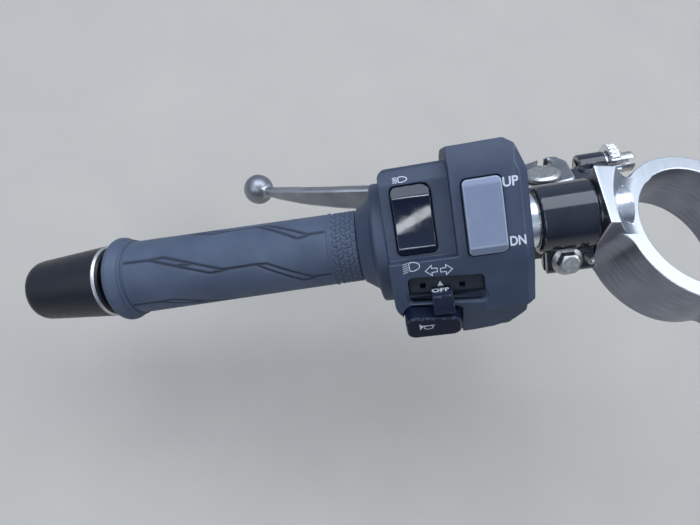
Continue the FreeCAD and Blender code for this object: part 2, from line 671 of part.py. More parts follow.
def make_clutch_lever():
    lever = Solid("lever_blank")
    front = "blade_thick / 2"
    # Middle of the blade from root to ball: along the bar, in front of it
    spine = [("75", "41"), ("100", "47.5"), ("134", "57.5"), ("155", "65"), ("173", "73"), ("192", "83.5")]
    outline = [
        ("pivot_along - 13.5", "-pivot_ahead + 5", "4"),
        ("pivot_along - 15.5", "-pivot_ahead - 15", "3"),
        ("pivot_along - 12", "-cable_ahead - 4.5", "5"),
        ("pivot_along - 2", "-cable_ahead - 1.5", "12"),
    ]
    outline += [(along, f"-({ahead} + {front})", "50") for along, ahead in spine]
    outline += [("ball_along", "-ball_ahead - 1"), ("ball_along + 2", "-ball_ahead + 2")]
    outline += [(along, f"-({ahead} - {front})", "50") for along, ahead in reversed(spine)]
    outline += [("pivot_along + 4", "-pivot_ahead + 9.5", "9")]
    middle = ("0", "0", "-lever_drop")
    height = f"({LOBE_TOP} - {LOBE_LOW})"
    lever.pad(lever.outline("XY", outline, middle), height, both=True)
    # The blade tapers in height from its root to the ball
    half = "blade_height / 2"
    thin = "blade_tip / 2"
    sides = [
        ("pivot_along + 20", f"{height} / 2"),
        ("150", half),
        ("178", f"{half} - 1.5"),
        ("ball_along - 8", thin),
    ]
    for sign in ("", "-"):
        wedge = [(along, f"{sign}({up})") for along, up in sides]
        wedge += [("ball_along + 20", f"{sign}{thin}"), ("ball_along + 20", f"{sign}20")]
        wedge += [("pivot_along + 20", f"{sign}20")]
        lever.pocket(lever.outline("XZ", wedge, ("0", "-lever_drop", "0")), "400", both=True)
    # The fork of the root goes over the perch's tongue, above and below it
    slot = [
        ("pivot_along - 40", "-pivot_ahead + 30"),
        ("pivot_along", "-pivot_ahead + 30"),
        ("pivot_along + 3", "-pivot_ahead"),
        ("pivot_along + 3", "-cable_ahead - 30"),
        ("pivot_along - 40", "-cable_ahead - 30"),
    ]
    gap = "tongue_thick + 2 * pivot_gap"
    lever.pocket(lever.outline("XY", slot, middle), gap, both=True)
    about_pivot = ("pivot_along", "-pivot_ahead", "tongue_d + 11")
    lever.pocket(lever.circles("XY", [about_pivot], middle), gap, both=True)
    bolt_hole = ("pivot_along", "-pivot_ahead", "pivot_d + 2 * pivot_gap")
    nipple_hole = ("pivot_along - nipple_in", "-nipple_ahead", "nipple_d")
    lever.pocket(lever.circles("XY", [bolt_hole, nipple_hole]), "80", both=True)
    ball = doc.addObject("Part::Sphere", "lever_ball")
    ball.setExpression("Radius", formula("ball_d / 2"))
    ball.setExpression(".Placement.Base.x", formula("ball_along"))
    ball.setExpression(".Placement.Base.y", formula("-ball_ahead"))
    ball.setExpression(".Placement.Base.z", formula("-lever_drop"))
    return on_bar(joined("clutch_lever", [lever.body, ball]), "lever_tilt")


def make_clutch_switch():
    switch = Solid("clutch_switch")
    section = rectangle("-6", "6", "-perch_d / 2 - 16", "-perch_d / 2 - 2", "1.5")
    switch.pad(switch.outline("YZ", section, ("0", "0", f"{PERCH_END} - 12")), "12")
    return on_bar(switch.body)


def make_adjuster():
    screw = Solid("adjuster_screw_blank")
    head = f"({WHEEL_START} - adjuster_head)"
    profile = [
        (head, "ferrule_d / 2"),
        (head, "adjuster_head_d / 2 - 0.8"),
        (f"{head} + 0.8", "adjuster_head_d / 2"),
        (WHEEL_START, "adjuster_head_d / 2"),
        (WHEEL_START, "adjuster_d / 2"),
        ("adjuster_start + adjuster_boss + 0.5", "adjuster_d / 2"),
        ("adjuster_start + adjuster_boss + 0.5", "cable_d / 2"),
        (f"{head} + ferrule_depth", "cable_d / 2"),
        (f"{head} + ferrule_depth", "ferrule_d / 2"),
    ]
    screw.revolve(screw.outline("XY", profile, ADJUSTER_LINE), "H")
    wheel = Solid("adjuster_wheel_blank")
    rim = [
        (WHEEL_START, "adjuster_d / 2"),
        (WHEEL_START, "wheel_d / 2 - 1"),
        (f"{WHEEL_START} + 1", "wheel_d / 2"),
        (f"{WHEEL_START} + wheel_thick - 1", "wheel_d / 2"),
        (f"{WHEEL_START} + wheel_thick", "wheel_d / 2 - 1"),
        (f"{WHEEL_START} + wheel_thick", "adjuster_d / 2 + 2.5"),
        ("adjuster_start", "adjuster_d / 2 + 2.5"),
        ("adjuster_start", "adjuster_d / 2"),
    ]
    wheel.revolve(wheel.outline("XY", rim, ADJUSTER_LINE), "H")
    shift = ("-cable_ahead", "-lever_drop", "adjuster_start")
    notch = wheel.circles("YZ", [("0", "wheel_d / 2 + 0.2", "wheel_notch")], shift)
    wheel.pocket(notch, "wheel_thick + 1")
    wheel.around(notch, WHEEL_NOTCHES)

    pieces = []
    for name, blank in (("adjuster_screw", screw), ("adjuster_wheel", wheel)):
        slit = Solid(f"{name}_slit")
        across = [("0", "-cable_slot / 2"), ("0", "cable_slot / 2"), ("wheel_d", "cable_slot / 2"),
                  ("wheel_d", "-cable_slot / 2")]
        slit.pad(slit.outline("YZ", across), "2 * adjuster_start + 60", both=True)
        slit.body.setExpression(".Placement.Base.y", formula("-cable_ahead"))
        slit.body.setExpression(".Placement.Base.z", formula("-lever_drop"))
        rolled(slit.body, "slot_roll")
        pieces.append(on_bar(boolean("Part::Cut", name, blank.body, [slit.body]), "lever_tilt"))
    return pieces


def slanted(inner, outer, low, high, drop_low, drop_high, corner):
    """a four-sided outline whose low and high edges drop towards its inboard end"""
    return [
        (inner, f"{low} - {drop_low}", corner),
        (outer, low, corner),
        (outer, high, corner),
        (inner, f"{high} - {drop_high}", corner),
    ]


def turn_outline(gap, corner):
    inner, outer = f"case_start + turn_in + {gap}", f"case_end - turn_out - {gap}"
    low, high = f"turn_low + {gap}", f"turn_high - {gap}"
    return slanted(inner, outer, low, high, "turn_slant", "turn_slant", corner)


def horn_outline(inner, outer, gap, corner):
    return slanted(inner, outer, f"horn_low + {gap}", f"horn_high - {gap}", "0", "horn_slant", corner)


def windows():
    """the windows of the switch face, each with its depth from 2 mm outside the face"""
    beam = rectangle(BEAM_START, BEAM_END, "beam_low", "beam_high", "window_round")
    beam[3] = (BEAM_START, "beam_high", "beam_round")
    select = rectangle(SELECT_START, SELECT_END, "select_low", "select_high", "window_round")
    turn = turn_outline("0", "window_round")
    return (beam, "case_face - panel_face + 9"), (select, "9"), (turn, "turn_depth + 2")


# Outline of the switch housing, seen on its face: along the bar, and up the face
CASE_PLAN = [
    ("case_start", "-case_low + 18", "6"),
    ("case_start + 6", "-case_low + 4", "6"),
    ("case_start + 20", "-case_low", "6"),
    ("case_end - 8", "-case_low + 1", "8"),
    ("case_end", "-case_low + 14", "8"),
    ("case_end", "case_top"),
    ("case_start + 7", "case_top"),
    ("case_start + 3.6", "case_top - 2.5"),
    ("case_start", "case_top - 12", "3"),
]
# Half outline of the round flange and of the neck outside it: along the bar, and its radius
FLANGE = [
    ("case_end - 2", "0"),
    ("case_end - 2", "flange_d / 2 - 3"),
    ("case_end", "flange_d / 2", "1"),
    ("case_end + flange_thick", "flange_d / 2", "1.5"),
    ("case_end + flange_thick + 0.8", "flange_d / 2 - 5", "4"),
    ("case_end + flange_thick + neck_length", "grip_d / 2 + 0.6"),
    ("case_end + flange_thick + neck_length", "0"),
]
CASE_SCREWS = [("case_start + 15", "24"), ("case_start + 27", "-24")]
# The lower face slopes away from the rider in three steps: out from the bar's axis, and up
SLOPES = [
    ("case_face", "-4"),
    ("case_face - 1.5", "-10.5"),
    ("case_face - 6", "-25"),
    ("case_face - 17", "-case_low"),
]
# The middle one's lean, and its distance from the bar's axis
LEAN = "atan(4.5 / 14.5)"
LEAN_OUT = f"((case_face - 1.5) * cos({LEAN}) + 10.5 * sin({LEAN}))"
# Everything past the housing in one direction, so that a cut clears it
BEYOND = "case_face + 5"


def make_case_rear():
    rear = Solid("case_rear_block")
    rear.pad(rear.outline("XZ", CASE_PLAN), "case_face", back=True)
    slope = SLOPES + [("case_face - 17", "-case_low - 5"), (BEYOND, "-case_low - 5"), (BEYOND, "-4")]
    brow = [
        ("case_face", "case_top - 9"),
        ("case_face - 5", "case_top"),
        ("case_face - 5", "case_top + 5"),
        (BEYOND, "case_top + 5"),
        (BEYOND, "case_top - 9"),
    ]
    for outline in (slope, brow):
        rear.pocket(rear.outline("YZ", outline), "400", both=True)

    panel = [
        ("case_face - 1.2", "-7"),
        ("panel_face", "-4.5"),
        ("panel_face", "panel_top - 6", "4"),
        ("panel_face - 4", "panel_top", "3"),
        ("-5", "panel_top"),
        ("-5", "case_top + 5"),
        (BEYOND, "case_top + 5"),
        (BEYOND, "-7"),
    ]
    rear.pocket(rear.outline("YZ", panel, ("0", "0", "case_step")), "60", back=True)
    rear.revolve(rear.outline("XY", FLANGE), "H", 180, both=True)
    rear.pocket(rear.circles("YZ", [("0", "0", "bar_d")]), "400", both=True)
    for window, depth in windows():
        rear.pocket(rear.outline("XZ", window, ("0", "0", "-case_face - 2")), depth, back=True)
    threads = [place + ("case_screw_d",) for place in CASE_SCREWS]
    rear.pocket(rear.circles("XZ", threads), "10")

    recess = Solid("horn_recess")
    mouth = horn_outline(HORN_START, HORN_END, "0", "4")
    recess.pad(recess.outline("XZ", mouth, ("0", "0", "-horn_floor")), "20", back=True)
    rolled(recess.body, "horn_roll - case_roll")
    rim = Solid("turn_rim")
    inner, outer = "case_start + turn_in - 0.8", "case_end - turn_out + 0.8"
    # In the leaning face's own frame the recess's lower edge has moved by this much
    shifted = f"(turn_low * cos({LEAN}) + (case_face - 5) * sin({LEAN}))"
    low, high = f"{shifted} - turn_rim", f"{shifted} + 2 * window_round"
    ledge = slanted(inner, outer, low, high, "turn_slant", "turn_slant", "window_round")
    rim.pad(rim.outline("XZ", ledge, ("0", "0", f"0.6 - {LEAN_OUT}")), "6", back=True)
    rolled(rim.body, f"-{LEAN}")
    # The inboard edge is bevelled beside the face, and on beside the lower slope
    upper = Solid("upper_bevel")
    side = [("case_start", "-case_low"), *CASE_PLAN[:-4:-1]]
    beside = [("case_start - 9", "-case_low"), *(place[:2] for place in side)]
    beside += [("case_start + 7", "case_top + 5"), ("case_start - 9", "case_top + 5")]
    upper.pad(upper.outline("XZ", beside, ("0", "0", "case_bevel - case_face")), "case_bevel + 1", back=True)
    upper.body.Tip.TaperAngle = 45
    lower = Solid("lower_bevel")
    wedge = [
        ("case_start - 1", f"{LEAN_OUT} - case_bevel - 1"),
        ("case_start + case_bevel + 3", f"{LEAN_OUT} + 3"),
        ("case_start - 1", f"{LEAN_OUT} + 3"),
    ]
    lower.pad(lower.outline("XY", wedge, ("0", "0", "-case_low - 5")), "case_low + 15")
    rolled(lower.body, f"-{LEAN}")
    tools = [tool.body for tool in (recess, rim, upper, lower)]
    return on_bar(boolean("Part::Cut", "switch_case_rear", rear.body, tools), "case_roll")


def make_case_front():
    front = Solid("switch_case_front")
    front.pad(front.outline("XZ", CASE_PLAN), "case_front")

    def shoulder(edge, deep, sign=1):
        """what is cut off along an edge: it falls a little over half of the depth, then by deep"""
        return [
            ("0", f"{edge}"),
            ("-case_front / 2", f"{edge} - {sign} * front_fall"),
            ("-case_front", f"{edge} - {sign} * {deep}"),
            ("-case_front - 5", f"{edge} - {sign} * {deep}"),
            ("-case_front - 5", f"{edge} + {sign} * 12"),
            ("0", f"{edge} + {sign} * 12"),
        ]

    for outline in (shoulder("case_top", "front_top_fall"), shoulder("-case_low + 4", "front_low_fall", -1)):
        front.pocket(front.outline("YZ", outline), "400", both=True)
    low_side = front.outline("YZ", shoulder("panel_top", "front_step_fall"), ("0", "0", "case_step"))
    front.pocket(low_side, "60", back=True)
    mirrored = [(along, f"-({out})", *radius) for along, out, *radius in FLANGE]
    front.revolve(front.outline("XY", mirrored), "H", 180, both=True)
    front.pocket(front.circles("YZ", [("0", "0", "bar_d")]), "400", both=True)
    threads = [place + ("case_screw_d",) for place in CASE_SCREWS]
    front.pocket(front.circles("XZ", threads), "case_front + 10", back=True)
    heads = [place + ("case_screw_head + 0.6",) for place in CASE_SCREWS]
    front.pocket(front.circles("XZ", heads, ("0", "0", "case_front + 1")), "6")
    outlet = ("case_start + outlet_in", "-outlet_ahead", "outlet_d")
    front.pocket(front.circles("XY", [outlet], ("0", "0", "-case_low - 5")), "15", back=True)
    return on_bar(front.body, "case_roll")


def make_case_screws():
    screws = []
    for number, (along, up) in enumerate(CASE_SCREWS, start=1):
        screw = Solid(f"case_screw_{number}")
        profile = [
            ("0", "-case_front + 1"),
            ("case_screw_head / 2", "-case_front + 1"),
            ("case_screw_head / 2", "-case_front + 5"),
            ("case_screw_d / 2", "-case_front + 5"),
            ("case_screw_d / 2", "9"),
            ("0", "9"),
        ]
        screw.revolve(screw.outline("XY", profile, (along, "0", up)), "V")
        screws.append(screw.body)
    return on_bar(joined("case_screws", screws), "case_roll")


def make_rocker(name, section, start, width, upper_round="window_round"):
    """a rocker: its section across the bar, from start along the bar, in a window so wide"""
    rocker = Solid(name)
    sketch = rocker.outline("YZ", section, ("0", "0", f"{start} + switch_gap"))
    rocker.pad(sketch, f"{width} - 2 * switch_gap")
    centre = rocker.body.Shape.BoundBox.Center

    def at_a_corner(edge, middle):
        deep = edge.Length > reading("window_round + 2")
        return edge.tangentAt(edge.FirstParameter).y ** 2 > 0.99 and deep

    def upper_inboard(edge, middle):
        return at_a_corner(edge, middle) and middle.x < centre.x and middle.z > centre.z

    def other_corner(edge, middle):
        return at_a_corner(edge, middle) and (middle.x > centre.x or middle.z < centre.z)

    rocker.soften(upper_inboard, f"{upper_round} - switch_gap / 2")
    rocker.soften(other_corner, "window_round - switch_gap / 2")
    return on_bar(rocker.body, "case_roll")


def make_beam_switch():
    low, high = "(beam_low + switch_gap)", "(beam_high - switch_gap)"
    seesaw = [
        ("panel_face - 7", low),
        ("panel_face + 0.6", low),
        ("panel_face + 2.2", f"{low} + 2.4"),
        ("panel_face + 0.2", f"{low} + 11"),
        ("panel_face + 2.8", f"{high} - 2.6"),
        ("panel_face + 1", high),
        ("panel_face - 7", high),
    ]
    return make_rocker("beam_switch", seesaw, BEAM_START, "beam_width", "beam_round")


def make_select_switch():
    low, high = "(select_low + switch_gap)", "(select_high - switch_gap)"
    paddle = [
        ("case_face - 7", low),
        ("case_face + 0.8", low),
        ("case_face + 3", f"{low} + 3"),
        ("case_face + 2.4", f"{high} - 3"),
        ("case_face + 1", high),
        ("case_face - 7", high),
    ]
    return make_rocker("select_switch", paddle, SELECT_START, "select_width")


def make_turn_plate():
    plate = Solid("turn_plate")
    recess = turn_outline("switch_gap", "window_round - 0.4")
    plate.pad(plate.outline("XZ", recess, ("0", "0", "turn_depth - case_face")), "plate_thick", back=True)
    # Two square holes, one each side of the slider
    top = ("0", "0", "turn_depth - case_face - plate_thick")
    inner, outer = "case_start + turn_in + hole_in", "case_end - turn_out - hole_out - plate_hole"
    for along, up in ((outer, "turn_high - 3.7"), (inner, "turn_high - 4.9")):
        hole = rectangle(along, f"{along} + plate_hole", f"{up} - plate_hole", up)
        plate.pocket(plate.outline("XZ", hole, top), "plate_thick / 2", back=True)
    return on_bar(plate.body, "case_roll")


def make_turn_switch():
    slider = Solid("turn_switch")
    floor = "(case_face - turn_depth + plate_thick)"
    tab = [
        (floor, "turn_low + 0.9"),
        ("case_face - 4.2", "turn_low + 0.9"),
        ("case_face - 2.2", "slider_low"),
        ("case_face + 0.8", "slider_low"),
        ("case_face + 1.2", "slider_high - 1.4"),
        ("case_face - 0.2", "slider_high"),
        (floor, "slider_high + 0.8"),
    ]
    inner = "case_end - turn_out - slider_out - slider_width"
    slider.pad(slider.outline("YZ", tab, ("0", "0", inner)), "slider_width")
    return on_bar(slider.body, "case_roll")


def make_horn_button():
    horn = Solid("horn_button")
    oval = horn_outline(f"{HORN_START} + horn_inset", f"{HORN_END} - switch_gap", "switch_gap", "3.6")
    horn.pad(horn.outline("XZ", oval, ("0", "0", "-horn_floor")), "horn_height", back=True)
    return on_bar(horn.body, "horn_roll")


def make_harness_boot():
    boot = Solid("harness_boot")
    profile = [
        ("harness_d / 2", "-case_low + 10"),
        ("outlet_d / 2", "-case_low + 10"),
        ("outlet_d / 2", "-case_low + 3"),
        ("outlet_d / 2 + 1.4", "-case_low + 3"),
        ("outlet_d / 2 + 1", "-case_low"),
        ("outlet_d / 2 - 0.8", "-case_low - 11"),
        ("harness_d / 2", "-case_low - 11"),
    ]
    boot.revolve(boot.outline("XZ", profile, ("case_start + outlet_in", "0", "outlet_ahead")), "V")
    return on_bar(boot.body, "case_roll")


def make_grip():
    grip = Solid("grip")
    profile = [
        ("grip_start", "bar_d / 2"),
        ("grip_start", "grip_d / 2"),
        ("grip_end - 9.1", "grip_outer_d / 2"),
        ("grip_end - 8.2", "grip_outer_d / 2 + 0.8"),
        ("grip_end - 6.4", "grip_outer_d / 2 + 0.6"),
        ("grip_end - 4", "grip_flange_d / 2 - 0.3", "1.5"),
        ("grip_end - 1.6", "grip_flange_d / 2", "1.5"),
        ("grip_end", "grip_flange_d / 2 - 2.2", "1"),
        ("grip_end", "bar_d / 2"),
    ]
    grip.revolve(grip.outline("XY", profile), "H")
    return on_bar(grip.body)


def make_bar_end():
    weight = Solid("bar_end_weight")
    profile = [
        ("bar_end - weight_plug", "0"),
        ("bar_end - weight_plug", "bar_bore / 2"),
        ("bar_end", "bar_bore / 2"),
        ("bar_end", "bar_d / 2 - 0.4"),
        ("weight_start", "bar_d / 2 - 0.4"),
        ("weight_start", "weight_d / 2 - 1.5"),
        ("weight_start + 1.5", "weight_d / 2"),
        ("weight_end - 4", "weight_tip_d / 2 + 0.8", "3"),
        ("weight_end", "weight_tip_d / 2 - 3.5"),
        ("weight_end", "end_screw_d / 2 + 0.2"),
        ("weight_end - 5", "end_screw_d / 2 + 0.2"),
        ("weight_end - 5", "0"),
    ]
    weight.revolve(weight.outline("XY", profile), "H")
    on_bar(weight.body)
    screw = Solid("bar_end_screw")
    head = rectangle("weight_end - 5", "weight_end - 1", "0", "end_screw_d / 2")
    screw.revolve(screw.outline("XY", head), "H")
    screw.pocket(screw.hexagon("YZ", "5", ("0", "0", "weight_end - 1")), "2.5")
    on_bar(screw.body)
    return weight.body, screw.body


NODES = {
    "fork_clamp": make_fork_clamp(),
    "pinch_bolt": make_pinch_bolt(),
    "bar_tube": make_bar_tube(),
    "lever_perch": make_lever_perch(),
    "perch_bolt": make_perch_bolt(),
    "perch_pin": make_perch_pin(),
    "pivot_bolt": make_pivot_bolt(),
    "pivot_nut": make_pivot_nut(),
    "clutch_lever": make_clutch_lever(),
    "clutch_switch": make_clutch_switch(),
    "switch_case_rear": make_case_rear(),
    "switch_case_front": make_case_front(),
    "case_screws": make_case_screws(),
    "beam_switch": make_beam_switch(),
    "select_switch": make_select_switch(),
    "turn_plate": make_turn_plate(),
    "turn_switch": make_turn_switch(),
    "horn_button": make_horn_button(),
    "harness_boot": make_harness_boot(),
    "grip": make_grip(),
}
NODES["adjuster_screw"], NODES["adjuster_wheel"] = make_adjuster()
NODES["bar_end_weight"], NODES["bar_end_screw"] = make_bar_end()

doc.removeObject("Gauge")
doc.recompute()

for item in doc.Objects:
    if "Invalid" in item.State or "Error" in item.State:
        raise ValueError(f"{item.Label} is {item.State}")
os.makedirs("parts", exist_ok=True)
for name, item in NODES.items():
    shape = item.Shape
    if shape.isNull() or not shape.isValid() or not shape.Solids:
        raise ValueError(f"{name} has no valid solid")
    print(f"{name}: {len(shape.Solids)} solid, {shape.Volume / 1000:.2f} cm3")
    shape.exportStep(f"parts/{name}.step")
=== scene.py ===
import math

import bmesh
import bpy
import numpy as np
from mathutils import Matrix, Vector
from mathutils.bvhtree import BVHTree
from mathutils.kdtree import KDTree


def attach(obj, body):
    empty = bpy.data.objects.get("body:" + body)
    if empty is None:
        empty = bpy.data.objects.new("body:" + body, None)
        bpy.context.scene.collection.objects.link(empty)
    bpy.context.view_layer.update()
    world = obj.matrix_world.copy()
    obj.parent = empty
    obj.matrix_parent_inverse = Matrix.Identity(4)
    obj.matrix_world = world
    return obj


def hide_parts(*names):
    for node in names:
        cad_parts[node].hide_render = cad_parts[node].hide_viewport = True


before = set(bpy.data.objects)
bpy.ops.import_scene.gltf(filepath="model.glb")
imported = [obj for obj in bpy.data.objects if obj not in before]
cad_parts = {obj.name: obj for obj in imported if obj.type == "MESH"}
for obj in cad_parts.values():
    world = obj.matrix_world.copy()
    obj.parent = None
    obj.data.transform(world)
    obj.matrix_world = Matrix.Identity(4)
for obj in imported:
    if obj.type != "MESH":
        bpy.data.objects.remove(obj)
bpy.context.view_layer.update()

# Sizes in millimetres, as in the part; places on the bar are along it from the fork's axis
MM = 0.001
BAR_DROOP = 18
BAR_AHEAD = 8.4
BAR_OVER = 21.9
CASE_ROLL = 57
HORN_ROLL = 17
BAR_RADIUS = 11.1

# Camera that the photograph was taken with, fitted to the bar, the grip and the clamp
CAMERA_PLACE = (-0.1669, -0.0797, 0.1658)
CAMERA_RIGHT = (0.98906, -0.07106, 0.12843)
CAMERA_UP = (0.01446, 0.91856, 0.39651)
CAMERA_BACK = (-0.1461, -0.39038, 0.90969)
IMAGE_WIDTH = 700
FOCAL_PIXELS = 485.6
SENSOR_WIDTH = 36


def on_bar(roll=0):
    """from millimetres along the bar, out and up in its frame rolled about it, to the part's metres"""
    turned = Matrix.Rotation(math.pi, 4, "Z") @ Matrix.Rotation(math.radians(BAR_DROOP), 4, "Y")
    rolled = turned @ Matrix.Rotation(math.radians(roll), 4, "X")
    return Matrix.Translation((0, BAR_AHEAD * MM, BAR_OVER * MM)) @ rolled @ Matrix.Scale(MM, 4)


def on_face(roll, along, up, out):
    """a flat drawing's place on a face: its right is inboard, its top is up the face"""
    facing = Matrix(((-1, 0, 0, 0), (0, 0, 1, 0), (0, 1, 0, 0), (0, 0, 0, 1)))
    return on_bar(roll) @ Matrix.Translation((along, out, up)) @ facing


# Pieces

# Points nearer than this many metres are one, and faces within this many degrees are one flat face
JOINED = 1.5e-6
FLAT_ANGLE = 0.6
# Edges that are rounded, and edges that stay sharp under smooth shading, turn by more degrees than these
SHARP_ANGLE = 30
SMOOTH_ANGLE = 32
# How often a rounding is tried, and the share of its width by which it may leave the old surface
TRIES = 12
OFF_SURFACE = 0.55
# How far from a cutting plane a point still lies on it, in millimetres
ON_PLANE = 1e-5


def piece(name, shape, material, body="handlebar", replaced=(), weighted=True):
    """a finished piece from a bmesh in metres, riding on its body"""
    mesh = bpy.data.meshes.new(name)
    shape.to_mesh(mesh)
    shape.free()
    mesh.shade_smooth()
    mesh.set_sharp_from_angle(angle=math.radians(SMOOTH_ANGLE))
    mesh.materials.append(material)
    made = bpy.data.objects.new(name, mesh)
    bpy.context.scene.collection.objects.link(made)
    if weighted:
        even = made.modifiers.new("even_normals", "WEIGHTED_NORMAL")
        even.keep_sharp = True
    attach(made, body)
    if replaced:
        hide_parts(*replaced)
    return made


def merged(node):
    """a CAD node's shape with its triangles joined and its flat faces whole"""
    shape = bmesh.new()
    shape.from_mesh(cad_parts[node].data)
    bmesh.ops.remove_doubles(shape, verts=shape.verts, dist=JOINED)
    bmesh.ops.dissolve_limit(
        shape, angle_limit=math.radians(FLAT_ANGLE), use_dissolve_boundaries=False,
        verts=shape.verts, edges=shape.edges, delimit=set(),
    )
    return shape


def soften(shape, width, segments):
    """rounds the sharp edges and marks the new rounding, where the finishes put their wear and a painted
    edge highlight

    A rounding that would leave the surface, beside a sliver of the mesh, is tried again without its corner.
    """
    surface = BVHTree.FromBMesh(shape)
    corners = KDTree(len(shape.verts))
    for index, vert in enumerate(shape.verts):
        corners.insert(vert.co, index)
    corners.balance()
    allowed = width * MM * OFF_SURFACE
    left_out = set()
    for attempt in range(TRIES):
        trial = shape.copy()
        trial.verts.index_update()
        sharp = [
            edge for edge in trial.edges
            if edge.is_manifold and edge.calc_face_angle() > math.radians(SHARP_ANGLE)
            and not left_out & {vert.index for vert in edge.verts}
        ]
        rounded = bmesh.ops.bevel(
            trial, geom=sharp, offset=width * MM, offset_type="OFFSET", segments=segments, profile=0.5,
            affect="EDGES", clamp_overlap=False, material=-1, loop_slide=True,
        )
        stray = {vert for vert in trial.verts if surface.find_nearest(vert.co)[3] > allowed}
        near = {
            corners.find(edge.other_vert(vert).co)[1]
            for vert in stray for edge in vert.link_edges if edge.other_vert(vert) not in stray
        }
        if near <= left_out:
            break
        left_out |= near
        trial.free()
    else:
        raise ValueError("the edges can't be rounded")
    strip = set(rounded["faces"])
    # the edge mark on the rounding carries both the finish's wear and its painted edge highlight
    edge_wear_and_highlight = trial.verts.layers.float.new("edge")
    for vert in trial.verts:
        vert[edge_wear_and_highlight] = float(bool(vert.link_faces) and all(face in strip for face in vert.link_faces))
    shape.free()
    return trial


def prism(plan, low, high):
    """an upright block in a bar frame: its plan along and up, grown outwards from low to high"""
    shape = bmesh.new()
    corners = [shape.verts.new((along, low, up)) for along, up in plan]
    base = shape.faces.new(corners)
    grown = bmesh.ops.extrude_face_region(shape, geom=[base])["geom"]
    top = [part for part in grown if isinstance(part, bmesh.types.BMVert)]
    bmesh.ops.translate(shape, verts=top, vec=(0, high - low, 0))
    bmesh.ops.recalc_face_normals(shape, faces=shape.faces)
    return shape


def sliced(shape, point, normal):
    """takes off what lies beyond the plane and closes the cut"""
    cut = bmesh.ops.bisect_plane(
        shape, geom=shape.verts[:] + shape.edges[:] + shape.faces[:], dist=ON_PLANE,
        plane_co=point, plane_no=normal, clear_outer=True,
    )["geom_cut"]
    rim = [part for part in cut if isinstance(part, bmesh.types.BMEdge)]
    bmesh.ops.contextual_create(shape, geom=rim)
    bmesh.ops.recalc_face_normals(shape, faces=shape.faces)
    return shape


def worked(shape, tools, place):
    """the shape with each block of a bar frame joined to it or cut out of it"""
    holders = []
    blocks = [block for block, _ in tools]
    for block in blocks:
        bmesh.ops.transform(block, matrix=place, verts=block.verts)
    for part in [shape] + blocks:
        mesh = bpy.data.meshes.new("work")
        part.to_mesh(mesh)
        part.free()
        holder = bpy.data.objects.new("work", mesh)
        bpy.context.scene.collection.objects.link(holder)
        holders.append(holder)
    for holder, (_, way) in zip(holders[1:], tools):
        step = holders[0].modifiers.new("work", "BOOLEAN")
        step.operation = way
        step.solver = "EXACT"
        step.object = holder
    evaluated = holders[0].evaluated_get(bpy.context.evaluated_depsgraph_get())
    mesh = bpy.data.meshes.new_from_object(evaluated)
    made = bmesh.new()
    made.from_mesh(mesh)
    bpy.data.meshes.remove(mesh)
    for holder in holders:
        left = holder.data
        bpy.data.objects.remove(holder)
        bpy.data.meshes.remove(left)
    bmesh.ops.remove_doubles(made, verts=made.verts, dist=JOINED)
    return made


def spun(section, steps):
    """a ring turned about the bar from its closed half section: along the bar, and out from its axis"""
    shape = bmesh.new()
    corners = [shape.verts.new((along, out, 0)) for along, out in section]
    for first, second in zip(corners, corners[1:] + corners[:1]):
        shape.edges.new((first, second))
    bmesh.ops.spin(
        shape, geom=shape.verts[:] + shape.edges[:], axis=(1, 0, 0), cent=(0, 0, 0),
        angle=2 * math.pi, steps=steps, use_merge=True, use_duplicate=False,
    )
    bmesh.ops.recalc_face_normals(shape, faces=shape.faces)
    return shape


def arc(centre, radius, start, end, count=10):
    """places on a round from one angle to another, in degrees"""
    angles = [math.radians(start + (end - start) * step / count) for step in range(count + 1)]
    return [(centre[0] + radius * math.cos(a), centre[1] + radius * math.sin(a)) for a in angles]


def run(start, end, count):
    """evenly spaced places of a section's straight run, without its last"""
    return [
        (start[0] + (end[0] - start[0]) * step / count, start[1] + (end[1] - start[1]) * step / count)
        for step in range(count)
    ]


# Finishes

# Most of a noise's values lie between these two
NOISE_LOW, NOISE_HIGH = 0.3, 0.7
# The sockets of a Mix node that take and give colours
FIRST_COLOUR, SECOND_COLOUR, MIXED_COLOUR = 6, 7, 2


